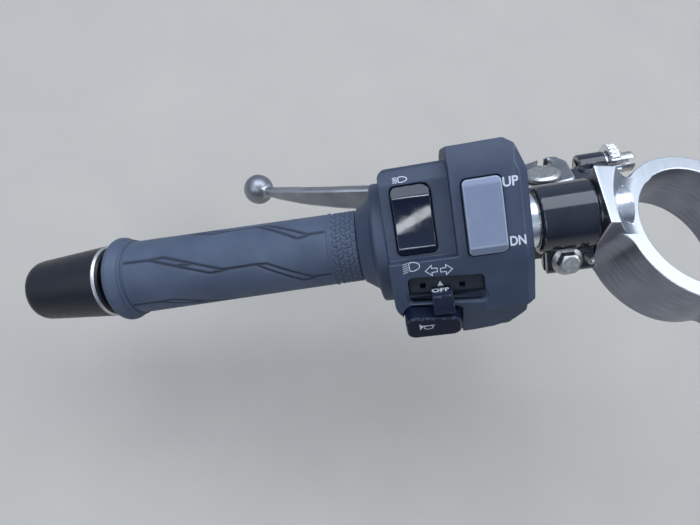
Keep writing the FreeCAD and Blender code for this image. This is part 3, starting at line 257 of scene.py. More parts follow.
class Finish:
    """one procedural material; its patterns read the piece's own place in the part's frame"""

    def __init__(self, name, roughness, metallic=0.0, turn=(0, 0, 0), constants=()):
        self.material = bpy.data.materials.new(name)
        self.material.use_nodes = True
        self.tree = self.material.node_tree
        self.shader = self.tree.nodes["Principled BSDF"]
        self.shader.inputs["Roughness"].default_value = roughness
        self.shader.inputs["Metallic"].default_value = metallic
        for socket, value in constants:
            self.shader.inputs[socket].default_value = value
        coordinates = self.add("ShaderNodeTexCoord")
        self.place = self.add("ShaderNodeMapping")
        self.place.inputs["Rotation"].default_value = [math.radians(angle) for angle in turn]
        self.link(coordinates.outputs["Object"], self.place.inputs["Vector"])

    def add(self, kind, **settings):
        node = self.tree.nodes.new(kind)
        for name, value in settings.items():
            setattr(node, name, value)
        return node

    def link(self, source, target):
        self.tree.links.new(source, target)

    def feed(self, socket, value):
        if isinstance(value, bpy.types.NodeSocket):
            self.link(value, socket)
        else:
            socket.default_value = value

    def stretched(self, scale):
        node = self.add("ShaderNodeVectorMath", operation="MULTIPLY")
        self.link(self.place.outputs["Vector"], node.inputs[0])
        node.inputs[1].default_value = scale
        return node.outputs["Vector"]

    def noise(self, size, detail, stretch=(1, 1, 1)):
        """a cloudy pattern with features of the size in millimetres"""
        node = self.add("ShaderNodeTexNoise")
        node.inputs["Scale"].default_value = 1.0 / (size * MM)
        node.inputs["Detail"].default_value = detail
        self.link(self.stretched(stretch), node.inputs["Vector"])
        return node.outputs["Fac"]

    def attribute(self, name):
        """a value that the piece's points carry, such as edge on the rounding, where a finish shows wear
        and a painted edge highlight
        """
        return self.add("ShaderNodeAttribute", attribute_name=name).outputs["Fac"]

    def span(self, value, low, high, to_low=0.0, to_high=1.0):
        """the value spread from one range to another and kept inside it"""
        node = self.add("ShaderNodeMapRange", clamp=True)
        for socket, amount in zip(node.inputs, (value, low, high, to_low, to_high)):
            self.feed(socket, amount)
        return node.outputs["Result"]

    def spread(self, pattern, to_low=0.0, to_high=1.0):
        """a noise's usual values spread over a range"""
        return self.span(pattern, NOISE_LOW, NOISE_HIGH, to_low, to_high)

    def math(self, operation, first, second=0.0):
        node = self.add("ShaderNodeMath", operation=operation)
        self.feed(node.inputs[0], first)
        self.feed(node.inputs[1], second)
        return node.outputs["Value"]

    def mix(self, factor, first, second):
        node = self.add("ShaderNodeMix", data_type="RGBA")
        self.feed(node.inputs["Factor"], factor)
        for socket, colour in ((FIRST_COLOUR, first), (SECOND_COLOUR, second)):
            self.feed(node.inputs[socket], (*colour, 1.0) if isinstance(colour, tuple) else colour)
        return node.outputs[MIXED_COLOUR]

    def bump(self, height, distance, strength):
        node = self.add("ShaderNodeBump")
        node.inputs["Distance"].default_value = distance * MM
        node.inputs["Strength"].default_value = strength
        self.link(height, node.inputs["Height"])
        return node.outputs["Normal"]

    def done(self, colour=None, roughness=None, normal=None, metallic=None):
        for socket, value in (
            ("Base Color", colour), ("Roughness", roughness), ("Normal", normal), ("Metallic", metallic),
        ):
            if value is not None:
                self.link(value, self.shader.inputs[socket])
        return self.material


def grained_grey_plastic():
    """dark blue-grey housing plastic with a fine moulded grain, paler on its rounded edges, partly as
    rubbed wear and partly as painted highlight
    """
    made = Finish("grained_grey_plastic", 0.5, constants=[("Specular IOR Level", 0.4)])
    cloud = made.noise(14, 4)
    colour = made.mix(made.span(cloud, 0.35, 0.7), (0.029, 0.043, 0.077), (0.04, 0.057, 0.097))
    # painted highlight and rubbed wear: the rounded edges paler in patches
    wear_and_edge_highlight = made.math("MULTIPLY", made.attribute("edge"), made.span(made.noise(2.5, 5), 0.4, 0.75, 0.1, 0.6))
    colour = made.mix(wear_and_edge_highlight, colour, (0.1, 0.12, 0.165))
    grain = made.noise(0.35, 3)
    rough = made.spread(grain, 0.42, 0.62)
    return made.done(colour, rough, made.bump(grain, 0.06, 0.6))


def grip_rubber():
    """blue-grey rubber with painted shade in its grooves, its roughness varying in patches"""
    made = Finish("grip_rubber", 0.6, constants=[("Specular IOR Level", 0.4)])
    cloud = made.noise(18, 5)
    colour = made.mix(made.spread(cloud), (0.046, 0.064, 0.104), (0.07, 0.093, 0.144))
    # painted shade: the grooves darkened by their depth
    colour = made.mix(made.attribute("groove_shade"), colour, (0.01, 0.014, 0.026))
    grain = made.noise(0.45, 4)
    rough = made.spread(made.noise(7, 4), 0.5, 0.68)
    return made.done(colour, rough, made.bump(grain, 0.05, 0.5))


def brushed_aluminium():
    """milled clamp: fine lines round its walls and across its top; its walls darker and its top lighter as
    painted shade, and a pale painted highlight on its rounded edges
    """
    made = Finish("brushed_aluminium", 0.36, metallic=1.0)
    round_walls = made.noise(0.35, 4, (0.03, 0.03, 1))
    over_top = made.noise(0.5, 4, (1, 0.03, 0.2))
    parts = made.add("ShaderNodeSeparateXYZ")
    made.link(made.add("ShaderNodeNewGeometry").outputs["Normal"], parts.inputs[0])
    flat = made.span(made.math("ABSOLUTE", parts.outputs["Z"]), 0.4, 0.7)
    lines = made.span(flat, 0.0, 1.0, round_walls, over_top)
    cloud = made.noise(11, 3)
    # painted shade: the walls take darker tones than the up-facing top
    painted_shade_walls = made.mix(made.spread(cloud), (0.17, 0.18, 0.225), (0.25, 0.26, 0.31))
    base = made.mix(flat, painted_shade_walls, (0.36, 0.39, 0.43))
    colour = made.mix(made.span(lines, 0.35, 0.65, 0, 0.3), base, (0.56, 0.59, 0.63))
    # painted highlight: a near white rim on the rounded edges
    colour = made.mix(made.attribute("edge"), colour, (0.86, 0.87, 0.9))
    rough = made.spread(lines, 0.3, 0.44)
    return made.done(colour, rough, made.bump(lines, 0.03, 0.4))


def bright_aluminium():
    """the bare bar and the knurled wheel, with fine turned rings"""
    made = Finish("bright_aluminium", 0.25, metallic=1.0, turn=(0, -BAR_DROOP, 0))
    rings = made.noise(0.5, 4, (1, 0.02, 0.02))
    colour = made.mix(made.spread(rings), (0.68, 0.7, 0.74), (0.84, 0.85, 0.87))
    rough = made.spread(made.noise(3, 4), 0.18, 0.34)
    return made.done(colour, rough, made.bump(rings, 0.02, 0.4))


def black_enamel():
    """glossy black enamel on the casting, with faint orange peel"""
    made = Finish("black_enamel", 0.12, constants=[("Coat Weight", 0.4)])
    cloud = made.noise(9, 3)
    colour = made.mix(made.spread(cloud), (0.007, 0.01, 0.018), (0.013, 0.017, 0.028))
    wear_and_edge_highlight = made.math("MULTIPLY", made.attribute("edge"), made.span(made.noise(1.8, 5), 0.45, 0.7, 0.0, 0.5))
    colour = made.mix(wear_and_edge_highlight, colour, (0.2, 0.2, 0.21))
    rough = made.spread(made.noise(5, 4), 0.08, 0.2)
    return made.done(colour, rough, made.bump(made.noise(2.2, 2), 0.02, 0.4))


def zinc_steel():
    """cloudy zinc on bolts, screws and nut"""
    made = Finish("zinc_steel", 0.35, metallic=1.0)
    cloud = made.noise(1.6, 5)
    colour = made.mix(made.spread(cloud), (0.36, 0.36, 0.35), (0.62, 0.62, 0.6))
    rough = made.spread(made.noise(0.7, 4), 0.28, 0.5)
    return made.done(colour, rough, made.bump(made.noise(0.4, 3), 0.02, 0.4))


def silver_lever():
    """satin silver of the lever, with fine scratches along the blade"""
    made = Finish("silver_lever", 0.4, metallic=1.0, turn=(0, -BAR_DROOP, -22))
    scratches = made.noise(0.5, 6, (0.03, 1, 1))
    cloud = made.noise(12, 3)
    colour = made.mix(made.spread(cloud), (0.25, 0.26, 0.29), (0.36, 0.37, 0.4))
    # painted highlight: the rounded edges lighter
    colour = made.mix(made.math("MULTIPLY", made.attribute("edge"), 0.5), colour, (0.66, 0.67, 0.7))
    rough = made.spread(scratches, 0.3, 0.48)
    return made.done(colour, rough, made.bump(scratches, 0.02, 0.35))


def matte_black_plastic():
    """the plate under the slider and the clutch switch"""
    made = Finish("matte_black_plastic", 0.55, constants=[("Specular IOR Level", 0.3)])
    colour = made.mix(made.noise(6, 4), (0.005, 0.008, 0.018), (0.011, 0.015, 0.029))
    grain = made.noise(0.4, 3)
    return made.done(colour, made.spread(grain, 0.45, 0.65), made.bump(grain, 0.04, 0.5))


def gloss_black_plastic(name="gloss_black_plastic", shine=0.5, rough_low=0.05, rough_high=0.12):
    """polished black of the rocker, the slider and the horn button, rubbed grey on its edges"""
    made = Finish(name, 0.08, constants=[("Specular IOR Level", shine)])
    colour = made.mix(made.noise(5, 3), (0.003, 0.007, 0.02), (0.006, 0.011, 0.03))
    wear_and_edge_highlight = made.math("MULTIPLY", made.attribute("edge"), made.span(made.noise(1.2, 4), 0.4, 0.7, 0.05, 0.5))
    colour = made.mix(wear_and_edge_highlight, colour, (0.14, 0.16, 0.2))
    rough = made.span(made.noise(3, 4), 0.35, 0.7, rough_low, rough_high)
    return made.done(colour, rough, made.bump(made.noise(2.5, 2), 0.01, 0.2))


def pale_grey_plastic():
    """satin blue-grey of the large rocker, with a painted highlight on its rounded edges"""
    made = Finish("pale_grey_plastic", 0.38)
    colour = made.mix(made.noise(6, 4), (0.145, 0.178, 0.27), (0.195, 0.232, 0.33))
    # painted highlight: the rounded edges paler
    colour = made.mix(made.math("MULTIPLY", made.attribute("edge"), 0.5), colour, (0.46, 0.5, 0.6))
    grain = made.noise(0.35, 3)
    return made.done(colour, made.spread(grain, 0.32, 0.46), made.bump(grain, 0.02, 0.4))


def black_rubber():
    """the wiring's boot"""
    made = Finish("black_rubber", 0.7)
    colour = made.mix(made.noise(4, 4), (0.012, 0.013, 0.016), (0.026, 0.028, 0.032))
    grain = made.noise(0.5, 4)
    return made.done(colour, made.spread(grain, 0.6, 0.8), made.bump(grain, 0.04, 0.5))


def black_weight():
    """satin black of the bar-end weight, bare metal on its turned shoulder"""
    made = Finish("black_weight", 0.4, constants=[("Specular IOR Level", 0.4)])
    colour = made.mix(made.noise(8, 4), (0.006, 0.008, 0.013), (0.011, 0.013, 0.019))
    bare = made.attribute("bare")
    colour = made.mix(bare, colour, (0.6, 0.6, 0.61))
    rough = made.spread(made.noise(2, 4), 0.3, 0.46)
    return made.done(colour, rough, made.bump(made.noise(0.5, 3), 0.02, 0.4), metallic=bare)


def white_print():
    """the ink of the words and signs"""
    made = Finish("white_print", 0.5)
    colour = made.mix(made.noise(0.6, 3), (0.5, 0.54, 0.6), (0.66, 0.69, 0.74))
    return made.done(colour, made.spread(made.noise(1, 2), 0.4, 0.6))


FINISHES = {
    make.__name__: make()
    for make in (
        brushed_aluminium, bright_aluminium, black_enamel, zinc_steel, silver_lever, matte_black_plastic,
        gloss_black_plastic, pale_grey_plastic, black_rubber, grip_rubber, black_weight, white_print,
        grained_grey_plastic,
    )
}
# The horn button and the slider are duller than the rocker
FINISHES["horn_black_plastic"] = gloss_black_plastic("horn_black_plastic", 0.08, 0.26, 0.36)


# The housing's own forms, in its frame: along the bar, out, up

CASE = on_bar(CASE_ROLL)
TO_CASE = CASE.inverted()
# Blocks reach from the bar's axis, or from under the housing, to above its highest face
BLOCK_BASE = 0
BLOCK_TOP = 32
UNDER_HOUSING = -40

# The step and foot of the lower inboard corner: their plans, along and up, and the slopes that cut them.
# The slopes start a hair inside the housing's own and come out of them at a very small angle.
STEP_PLAN = [(73.1, -19), (73.1, -26.9), (76.9, -28.1), (92.5, -28.1), (92.5, -25.3), (86, -19)]
STEP_POINT, STEP_SLOPE = (76.4, 24.01, -25), Vector((0, 1, -0.305)).normalized()
BEVEL_POINT, END_BEVEL = (76.45, 24, -25), Vector((-1, 0.95, -0.3))
FOOT_PLAN = [
    (76.4, -26), (76.4, -31.3), (77.3, -32.5), (80.8, -35.7), (88.4, -38.4), (96.5, -39.3), (100.9, -39.4),
    (100.9, -27),
]
FOOT_POINT, FOOT_SLOPE = (76.4, 23.95, -25), Vector((0, 1, -0.821)).normalized()

# The holes beside the slider, along and up, square and this deep
HOLES = ((113.45, -16.75), (98.75, -17.95))
HOLE_SIDE = 2.1
HOLE_FLOOR = 17
HOLE_MOUTH = 26

# The rounding of the upper outer corner, and what it takes off
CORNER_ROUND = 3.4
CORNER_CUT = [(127.5, 26.6), (127.5, 31), (122.6, 31)] + arc((122.6, 26.6), CORNER_ROUND, 90, 0)

# The lower edge of the sunk panel is drawn up, and falls in with the slope where it meets it
PANEL_FROM = 100.4
PANEL_OUT = 28.5
MID_SLOPE_OUT = 29
PANEL_EDGE = -7
PANEL_RISE = 2.0
MID_SLOPE_FALL = 0.23
ON_EDGE = 0.05


def top_corner():
    """what the rounding of the housing's upper outer corner takes off both halves"""
    return prism(CORNER_CUT, UNDER_HOUSING, BLOCK_TOP), "DIFFERENCE"


def holes():
    """the two square holes beside the turn slider"""
    squares = [
        [(along, up), (along + HOLE_SIDE, up), (along + HOLE_SIDE, up + HOLE_SIDE), (along, up + HOLE_SIDE)]
        for along, up in HOLES
    ]
    return [(prism(square, HOLE_FLOOR, HOLE_MOUTH), "DIFFERENCE") for square in squares]


def rear_half():
    """the housing's rear half with its lower step, a higher lower edge of the panel and deep holes"""
    shape = merged("switch_case_rear")
    for vert in shape.verts:
        along, out, up = TO_CASE @ vert.co
        if along > PANEL_FROM and out > PANEL_OUT and abs(up - PANEL_EDGE) < ON_EDGE:
            risen = PANEL_RISE * MID_SLOPE_FALL if out > MID_SLOPE_OUT else 0
            vert.co = CASE @ Vector((along, out + risen, up + PANEL_RISE))
    step = sliced(prism(STEP_PLAN, BLOCK_BASE, BLOCK_TOP), STEP_POINT, STEP_SLOPE)
    step = sliced(step, BEVEL_POINT, END_BEVEL)
    foot = sliced(prism(FOOT_PLAN, BLOCK_BASE, BLOCK_TOP), FOOT_POINT, FOOT_SLOPE)
    return worked(shape, [(step, "UNION"), (foot, "UNION"), top_corner()] + holes(), CASE)


def front_half():
    """the housing's front half, with the same rounded corner"""
    return worked(merged("switch_case_front"), [top_corner()], CASE)


def pierced_plate():
    """the slider's plate with the same two holes"""
    return worked(merged("turn_plate"), holes(), CASE)


# The rocker's hollow, up the face: its lower lip, its floor and its upper lip, which in the solid is higher
HOLLOW_LOW = -0.2
HOLLOW = 8.4
HOLLOW_HIGH = 18.8
CREST = 20.3
# How far out its lips and its floor are, and how deep the smooth hollow is below the line of its lips
LOW_LIP = 27.2
HOLLOW_FLOOR = 25.2
HIGH_LIP = 27.8
HOLLOW_DEPTH = 1.5
# Rows of faces below and above its floor
LOW_ROWS = 18
HIGH_ROWS = 22
# How near a row, the upper lip or a flat half a point is taken to be
ON_ROW = 1e-3
ON_CREST = 0.01
ON_LIP = 0.2
ON_FLAT = 0.08


def hollow_rows():
    """heights of the rows of faces across the hollow"""
    low = [HOLLOW_LOW + (HOLLOW - HOLLOW_LOW) * row / LOW_ROWS for row in range(1, LOW_ROWS)]
    high = [HOLLOW + (HOLLOW_HIGH - HOLLOW) * row / HIGH_ROWS for row in range(1, HIGH_ROWS)]
    return low + high


def hollow_rocker():
    """the beam rocker with its two flat halves drawn into one smooth hollow"""
    shape = merged("beam_switch")
    bmesh.ops.transform(shape, matrix=TO_CASE, verts=shape.verts)
    for vert in shape.verts:
        if vert.co.y > HIGH_LIP - ON_LIP and HOLLOW < vert.co.z < CREST + ON_CREST:
            vert.co.z = HOLLOW + (vert.co.z - HOLLOW) * (HOLLOW_HIGH - HOLLOW) / (CREST - HOLLOW)
    for height in hollow_rows():
        bmesh.ops.bisect_plane(
            shape, geom=shape.verts[:] + shape.edges[:] + shape.faces[:], dist=ON_ROW,
            plane_co=(0, 0, height), plane_no=(0, 0, 1),
        )
    for vert in shape.verts:
        gap = vert.co.z - HOLLOW
        reach = HOLLOW_HIGH - HOLLOW if gap > 0 else HOLLOW - HOLLOW_LOW
        lip = HIGH_LIP if gap > 0 else LOW_LIP
        flat = HOLLOW_FLOOR + (lip - HOLLOW_FLOOR) * abs(gap) / reach
        if abs(gap) < reach and abs(vert.co.y - flat) < ON_FLAT:
            share = (vert.co.z - HOLLOW_LOW) / (HOLLOW_HIGH - HOLLOW_LOW)
            line_of_lips = LOW_LIP + (HIGH_LIP - LOW_LIP) * share
            vert.co.y = line_of_lips - HOLLOW_DEPTH * 4 * share * (1 - share)
    bmesh.ops.transform(shape, matrix=CASE, verts=shape.verts)
    return shape


# Below its root the boot keeps this share of its length
BOOT_ROOT = -38
BOOT_SHARE = 0.5


def short_boot():
    """the wiring's boot, drawn up close under the housing"""
    shape = merged("harness_boot")
    bmesh.ops.transform(shape, matrix=TO_CASE, verts=shape.verts)
    for vert in shape.verts:
        if vert.co.z < BOOT_ROOT:
            vert.co.z = BOOT_ROOT + (vert.co.z - BOOT_ROOT) * BOOT_SHARE
    bmesh.ops.transform(shape, matrix=CASE, verts=shape.verts)
    return shape


RESHAPED = {
    "switch_case_rear": rear_half,
    "switch_case_front": front_half,
    "turn_plate": pierced_plate,
    "beam_switch": hollow_rocker,
    "harness_boot": short_boot,
}

# Softened copies of the CAD nodes: node, material slot, width of the rounding, segments of the rounding
SOFTENED = (
    ("fork_clamp", "brushed_aluminium", 0.6, 3),
    ("lever_perch", "black_enamel", 0.6, 3),
    ("clutch_lever", "silver_lever", 1.4, 4),
    ("clutch_switch", "matte_black_plastic", 0.4, 2),
    ("switch_case_rear", "grained_grey_plastic", 0.5, 3),
    ("switch_case_front", "grained_grey_plastic", 0.5, 3),
    ("beam_switch", "gloss_black_plastic", 0.5, 3),
    ("select_switch", "pale_grey_plastic", 0.6, 3),
    ("turn_plate", "matte_black_plastic", 0.2, 2),
    ("turn_switch", "gloss_black_plastic", 0.5, 3),
    ("horn_button", "gloss_black_plastic", 1.0, 4),
    ("harness_boot", "black_rubber", 0.4, 2),
    ("pinch_bolt", "zinc_steel", 0.4, 2),
    ("perch_bolt", "zinc_steel", 0.25, 2),
    ("perch_pin", "zinc_steel", 0.2, 2),
    ("pivot_bolt", "zinc_steel", 0.4, 2),
    ("pivot_nut", "zinc_steel", 0.4, 2),
    ("adjuster_screw", "zinc_steel", 0.2, 2),
    ("adjuster_wheel", "bright_aluminium", 0.2, 2),
    ("case_screws", "zinc_steel", 0.3, 2),
    ("bar_end_screw", "zinc_steel", 0.25, 2),
)
# Nodes whose finish differs from what their slot's other nodes have
OWN_FINISH = {"horn_button": "horn_black_plastic", "turn_switch": "horn_black_plastic"}
for node, finish, width, segments in SOFTENED:
    shape = RESHAPED[node]() if node in RESHAPED else merged(node)
    shape = soften(shape, width, segments)
    body = "lever" if node == "clutch_lever" else "handlebar"
    piece(f"{node}_finished", shape, FINISHES[OWN_FINISH.get(node, finish)], body, (node,))


# The bar tube

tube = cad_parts["bar_tube"]
tube.data.materials.clear()
tube.data.materials.append(FINISHES["bright_aluminium"])


# The grip

# Its bore, and points further out than its skin belong to the outside
BORE_RADIUS = BAR_RADIUS + 0.02
SKIN_RADIUS = BAR_RADIUS + 1
# The grooved length: where it starts and ends, how thick it is there, and its steps along and round
GRIP_BODY = 150.6
GROOVE_END = 240.2
INNER_RADIUS = 15.2
OUTER_RADIUS = 16.4
ALONG_BODY = 272
AROUND_BODY = 312
# The grooves: motifs round the grip, the angle where the first starts, the radius on which they are drawn,
# half the width of a groove, its depth, and how full its section is
MOTIFS = 5
MOTIF_START = 18
MOTIF_RADIUS = 16.0
GROOVE_HALF = 0.42
GROOVE_DEPTH = 0.5
GROOVE_FULLNESS = 0.7
# The last of the grooved length, by the bead, stays whole
GROOVE_STOP = 0.2


def along_lines(places, lines, radius):
    """distance in millimetres from each place, along and round the grip, to the nearest of the lines"""
    nearest = np.full(len(places), np.inf)
    turn = 2 * math.pi * radius / MOTIFS
    flat = np.stack([places[:, 0], np.radians(places[:, 1]) * radius], axis=1)
    for line in lines:
        for first, second in zip(line, line[1:]):
            start = np.array((first[0], math.radians(first[1]) * radius))
            end = np.array((second[0], math.radians(second[1]) * radius))
            reach = end - start
            for shift in (-turn, 0, turn):
                offset = flat - start - np.array((0, shift))
                share = np.clip(offset @ reach / (reach @ reach), 0, 1)
                gap = offset - share[:, None] * reach
                nearest = np.minimum(nearest, np.hypot(gap[:, 0], gap[:, 1]))
    return nearest


# One of the five motifs round the grip: along the bar, and degrees round it from the rider upwards
ZIGZAGS = (
    ((240.2, 89.6), (228.4, 88.6), (221.6, 90.2), (195.9, 58.5), (192.8, 57.6), (182, 58.3), (176.3, 57),
     (158.2, 22.8), (150.6, 23.3)),
    ((227.8, 88.2), (201, 54.9), (196.4, 55.8), (192.8, 57.6)),
    ((180.9, 58.1), (162.6, 18.5), (158.4, 20.1), (158.2, 22.8)),
    ((214.7, 73.0), (208.4, 73.6)),
)

# The bead at its outer end follows the grooved length in one section
section = run((GRIP_BODY, INNER_RADIUS), (GROOVE_END, OUTER_RADIUS), ALONG_BODY)
section += [
    (240.2, 16.4), (240.5, 16.1), (240.8, 15.95), (241.1, 16.1), (241.3, 16.7), (241.5, 17.1),
    (241.8, 17.3), (242.1, 17.25), (242.4, 17.0), (242.8, 16.95), (243.3, 17.05), (243.9, 17.4),
    (244.5, 17.95), (245.1, 18.45), (245.8, 18.8), (246.5, 18.97), (247.2, 18.98), (247.9, 18.75),
    (248.5, 18.3), (248.9, 17.7), (249.15, 16.9), (249.3, 16.0), (249.3, BORE_RADIUS),
    (GRIP_BODY, BORE_RADIUS),
]
shape = spun(section, AROUND_BODY)
groove_shade = shape.verts.layers.float.new("groove_shade")
outside = [vert for vert in shape.verts if math.hypot(vert.co.y, vert.co.z) > SKIN_RADIUS]
places = np.array([(v.co.x, math.degrees(math.atan2(v.co.z, v.co.y))) for v in outside])
motif = 360 / MOTIFS
places[:, 1] = np.mod(places[:, 1] - MOTIF_START, motif) + MOTIF_START
gaps = along_lines(places, ZIGZAGS, MOTIF_RADIUS)
for vert, gap, place in zip(outside, gaps, places):
    if place[0] > GROOVE_END - GROOVE_STOP:
        continue
    fullness = max(0.0, 1 - gap / (2 * GROOVE_HALF))
    depth = fullness ** GROOVE_FULLNESS if gap < 2 * GROOVE_HALF else 0.0
    out = math.hypot(vert.co.y, vert.co.z)
    factor = (out - GROOVE_DEPTH * depth) / out
    vert.co.y *= factor
    vert.co.z *= factor
    # painted shade in the groove, as strong as the groove is deep
    vert[groove_shade] = depth
bmesh.ops.transform(shape, matrix=on_bar(), verts=shape.verts)
bmesh.ops.recalc_face_normals(shape, faces=shape.faces)
piece("grip_finished", shape, FINISHES["grip_rubber"], replaced=("grip",), weighted=False)

# The band of small raised dashes between the grip's inner end and its ridge
AROUND_BAND = 480
ALONG_BAND = 50
BAND_FROM, BAND_TO = 138.9, 149.0
DASH_COLUMNS = (139.4, 141.4, 143.4, 145.4, 147.4)
DASHES_ROUND = 26
DASH_LONG = 1.25
DASH_WIDE = 0.55
DASH_LEAN = 38
DASH_HEIGHT = 0.3
# Each column is turned a little further, and a low moat runs round each dash, darkened with painted shade
COLUMN_TURN = 1.2
MOAT_DEPTH = 0.12
MOAT_SHADE = 0.75
# From a dash's middle, in shares of its own half length and width: where it ends, how wide its flank is,
# where its moat lies and how wide that is, and how far it all reaches
DASH_END = 1.2
FLANK = 0.45
MOAT = 1.25
MOAT_HALF = 0.35
DASH_REACH = 1.6

section = [(138.3, 14.2), (138.5, 14.7), (138.8, 14.85)]
section += run((139.0, 14.9), (149.0, 14.95), ALONG_BAND)
section += [
    (149.0, 14.95), (149.3, 15.1), (149.5, 15.4), (149.8, 15.55), (150.1, 15.55), (150.4, 15.4),
    (150.7, 15.15), (151.0, 15.0), (151.0, BORE_RADIUS), (138.3, BORE_RADIUS),
]
shape = spun(section, AROUND_BAND)
groove_shade = shape.verts.layers.float.new("groove_shade")
pitch = 360 / DASHES_ROUND
for vert in shape.verts:
    out = math.hypot(vert.co.y, vert.co.z)
    if out < SKIN_RADIUS or not BAND_FROM < vert.co.x < BAND_TO:
        continue
    angle = math.degrees(math.atan2(vert.co.z, vert.co.y))
    for number, column in enumerate(DASH_COLUMNS):
        lean = math.radians(DASH_LEAN if number % 2 == 0 else -DASH_LEAN)
        shifted = (angle + pitch / 2 * (number % 2) + number * COLUMN_TURN) % pitch - pitch / 2
        right, up = vert.co.x - column, math.radians(shifted) * out
        long = (right * math.sin(lean) + up * math.cos(lean)) / DASH_LONG
        wide = (right * math.cos(lean) - up * math.sin(lean)) / DASH_WIDE
        reach = math.hypot(long, wide)
        if reach < DASH_REACH:
            rise = min(1.0, max(0.0, (DASH_END - reach) / FLANK))
            moat = max(0.0, 1 - abs(reach - MOAT) / MOAT_HALF)
            factor = (out + DASH_HEIGHT * rise - MOAT_DEPTH * moat) / out
            vert.co.y *= factor
            vert.co.z *= factor
            # painted shade in the moat round the dash
            vert[groove_shade] = MOAT_SHADE * moat
            break
bmesh.ops.transform(shape, matrix=on_bar(), verts=shape.verts)
bmesh.ops.recalc_face_normals(shape, faces=shape.faces)
piece("grip_band", shape, FINISHES["grip_rubber"], weighted=False)


# The bar-end weight: its plug in the bar, its shoulder, its cone, and the screw's seat in its end

AROUND_WEIGHT = 128
# The shoulder is bare metal between these places, outside its neck
BARE_FROM, BARE_TO = 254.0, 255.0
NECK_RADIUS = 14

section = [
    (225, 0.01), (225, 7.5), (249, 7.5), (249, 10.7), (253, 10.7), (253, 14.6), (253.4, 15.0),
    (253.95, 15.5), (254.05, 15.6), (254.7, 16.2), (255.2, 16.3), (287.0, 13.9), (288.6, 13.6),
    (290.0, 12.9), (291.0, 11.6), (291.5, 9.8), (291.5, 5.2), (291.1, 4.8), (284.8, 4.8), (284.8, 0.01),
]
shape = spun(section, AROUND_WEIGHT)
bare = shape.verts.layers.float.new("bare")
for vert in shape.verts:
    outer = math.hypot(vert.co.y, vert.co.z) > NECK_RADIUS
    vert[bare] = float(BARE_FROM < vert.co.x < BARE_TO and outer)
bmesh.ops.transform(shape, matrix=on_bar(), verts=shape.verts)
bmesh.ops.recalc_face_normals(shape, faces=shape.faces)
piece(
    "bar_end_weight_finished", shape, FINISHES["black_weight"], replaced=("bar_end_weight",),
)


# Printed marks

PRINT_THICK = 0.06
# Width of the pen that draws the signs, and the shares of it for beams and for arrows
PEN = 0.31
BEAM_PEN = PEN * 0.7
ARROW_PEN = PEN * 0.9
# Height of a capital in the built-in face, as a share of its size, and how much bolder the words are
CAPITAL = 0.7
BOLD = 0.035
# Points of a drawing nearer than this many millimetres are one
PRINT_JOINED = 1e-4
# At a sharp corner a line's outline reaches no further than this share allows
MITRE_LEAST = 0.4


def contour(points, width, closed=False):
    """outlines of a line drawn with a pen of the width: one for an open line, two for a closed one"""
    count = len(points)
    sides = ([], [])
    for index, point in enumerate(points):
        before = points[index - 1] if closed or index else None
        after = points[(index + 1) % count] if closed or index < count - 1 else None
        here = Vector(point)
        coming = (here - Vector(before)).normalized() if before else (Vector(after) - here).normalized()
        leaving = (Vector(after) - here).normalized() if after else coming
        normal = Vector((-coming.y - leaving.y, coming.x + leaving.x)).normalized()
        square = Vector((-coming.y, coming.x))
        offset = normal * (width / 2 / max(MITRE_LEAST, normal.dot(square)))
        sides[0].append(here + offset)
        sides[1].append(here - offset)
    if closed:
        return [sides[0], sides[1]]
    return [sides[0] + sides[1][::-1]]


def printed(name, contours, place):
    """a flat drawing in millimetres, filled between its outlines and laid at its place"""
    drawing = bpy.data.curves.new(name, "CURVE")
    drawing.dimensions = "2D"
    drawing.fill_mode = "BOTH"
    drawing.extrude = PRINT_THICK / 2
    for outline in contours:
        spline = drawing.splines.new("POLY")
        spline.points.add(len(outline) - 1)
        for point, corner in zip(spline.points, outline):
            point.co = (corner[0], corner[1], 0, 1)
        spline.use_cyclic_u = True
    return laid(name, drawing, place)


def lettered(name, words, height, width, place):
    """bold words in the plain built-in face, drawn to a height and width and centred at their place"""
    drawing = bpy.data.curves.new(name, "FONT")
    drawing.body = words
    drawing.size = height / CAPITAL
    drawing.extrude = PRINT_THICK / 2
    drawing.offset = BOLD * height
    drawing.align_x = "CENTER"
    drawing.align_y = "CENTER"
    return laid(name, drawing, place, width)


def laid(name, drawing, place, width=None):
    """a drawing made a mesh, drawn out to a width if one is given, and put in its place"""
    holder = bpy.data.objects.new(name, drawing)
    bpy.context.scene.collection.objects.link(holder)
    evaluated = holder.evaluated_get(bpy.context.evaluated_depsgraph_get())
    mesh = bpy.data.meshes.new_from_object(evaluated)
    bpy.data.objects.remove(holder)
    bpy.data.curves.remove(drawing)
    shape = bmesh.new()
    shape.from_mesh(mesh)
    bpy.data.meshes.remove(mesh)
    bmesh.ops.remove_doubles(shape, verts=shape.verts, dist=PRINT_JOINED)
    if width:
        rights = [vert.co.x for vert in shape.verts]
        share = width / (max(rights) - min(rights))
        bmesh.ops.scale(shape, vec=(share, 1, 1), verts=shape.verts)
    bmesh.ops.transform(shape, matrix=place, verts=shape.verts)
    bmesh.ops.recalc_face_normals(shape, faces=shape.faces)
    return piece(name, shape, FINISHES["white_print"], weighted=False)


# The beams of a headlamp sign: how many, where they start, their length as a share of the lens's width, and
# how far inside its height they stay
BEAM_ROWS = 5
BEAM_START = -0.85
BEAM_SHARE = 0.52
BEAM_MARGIN = 0.15


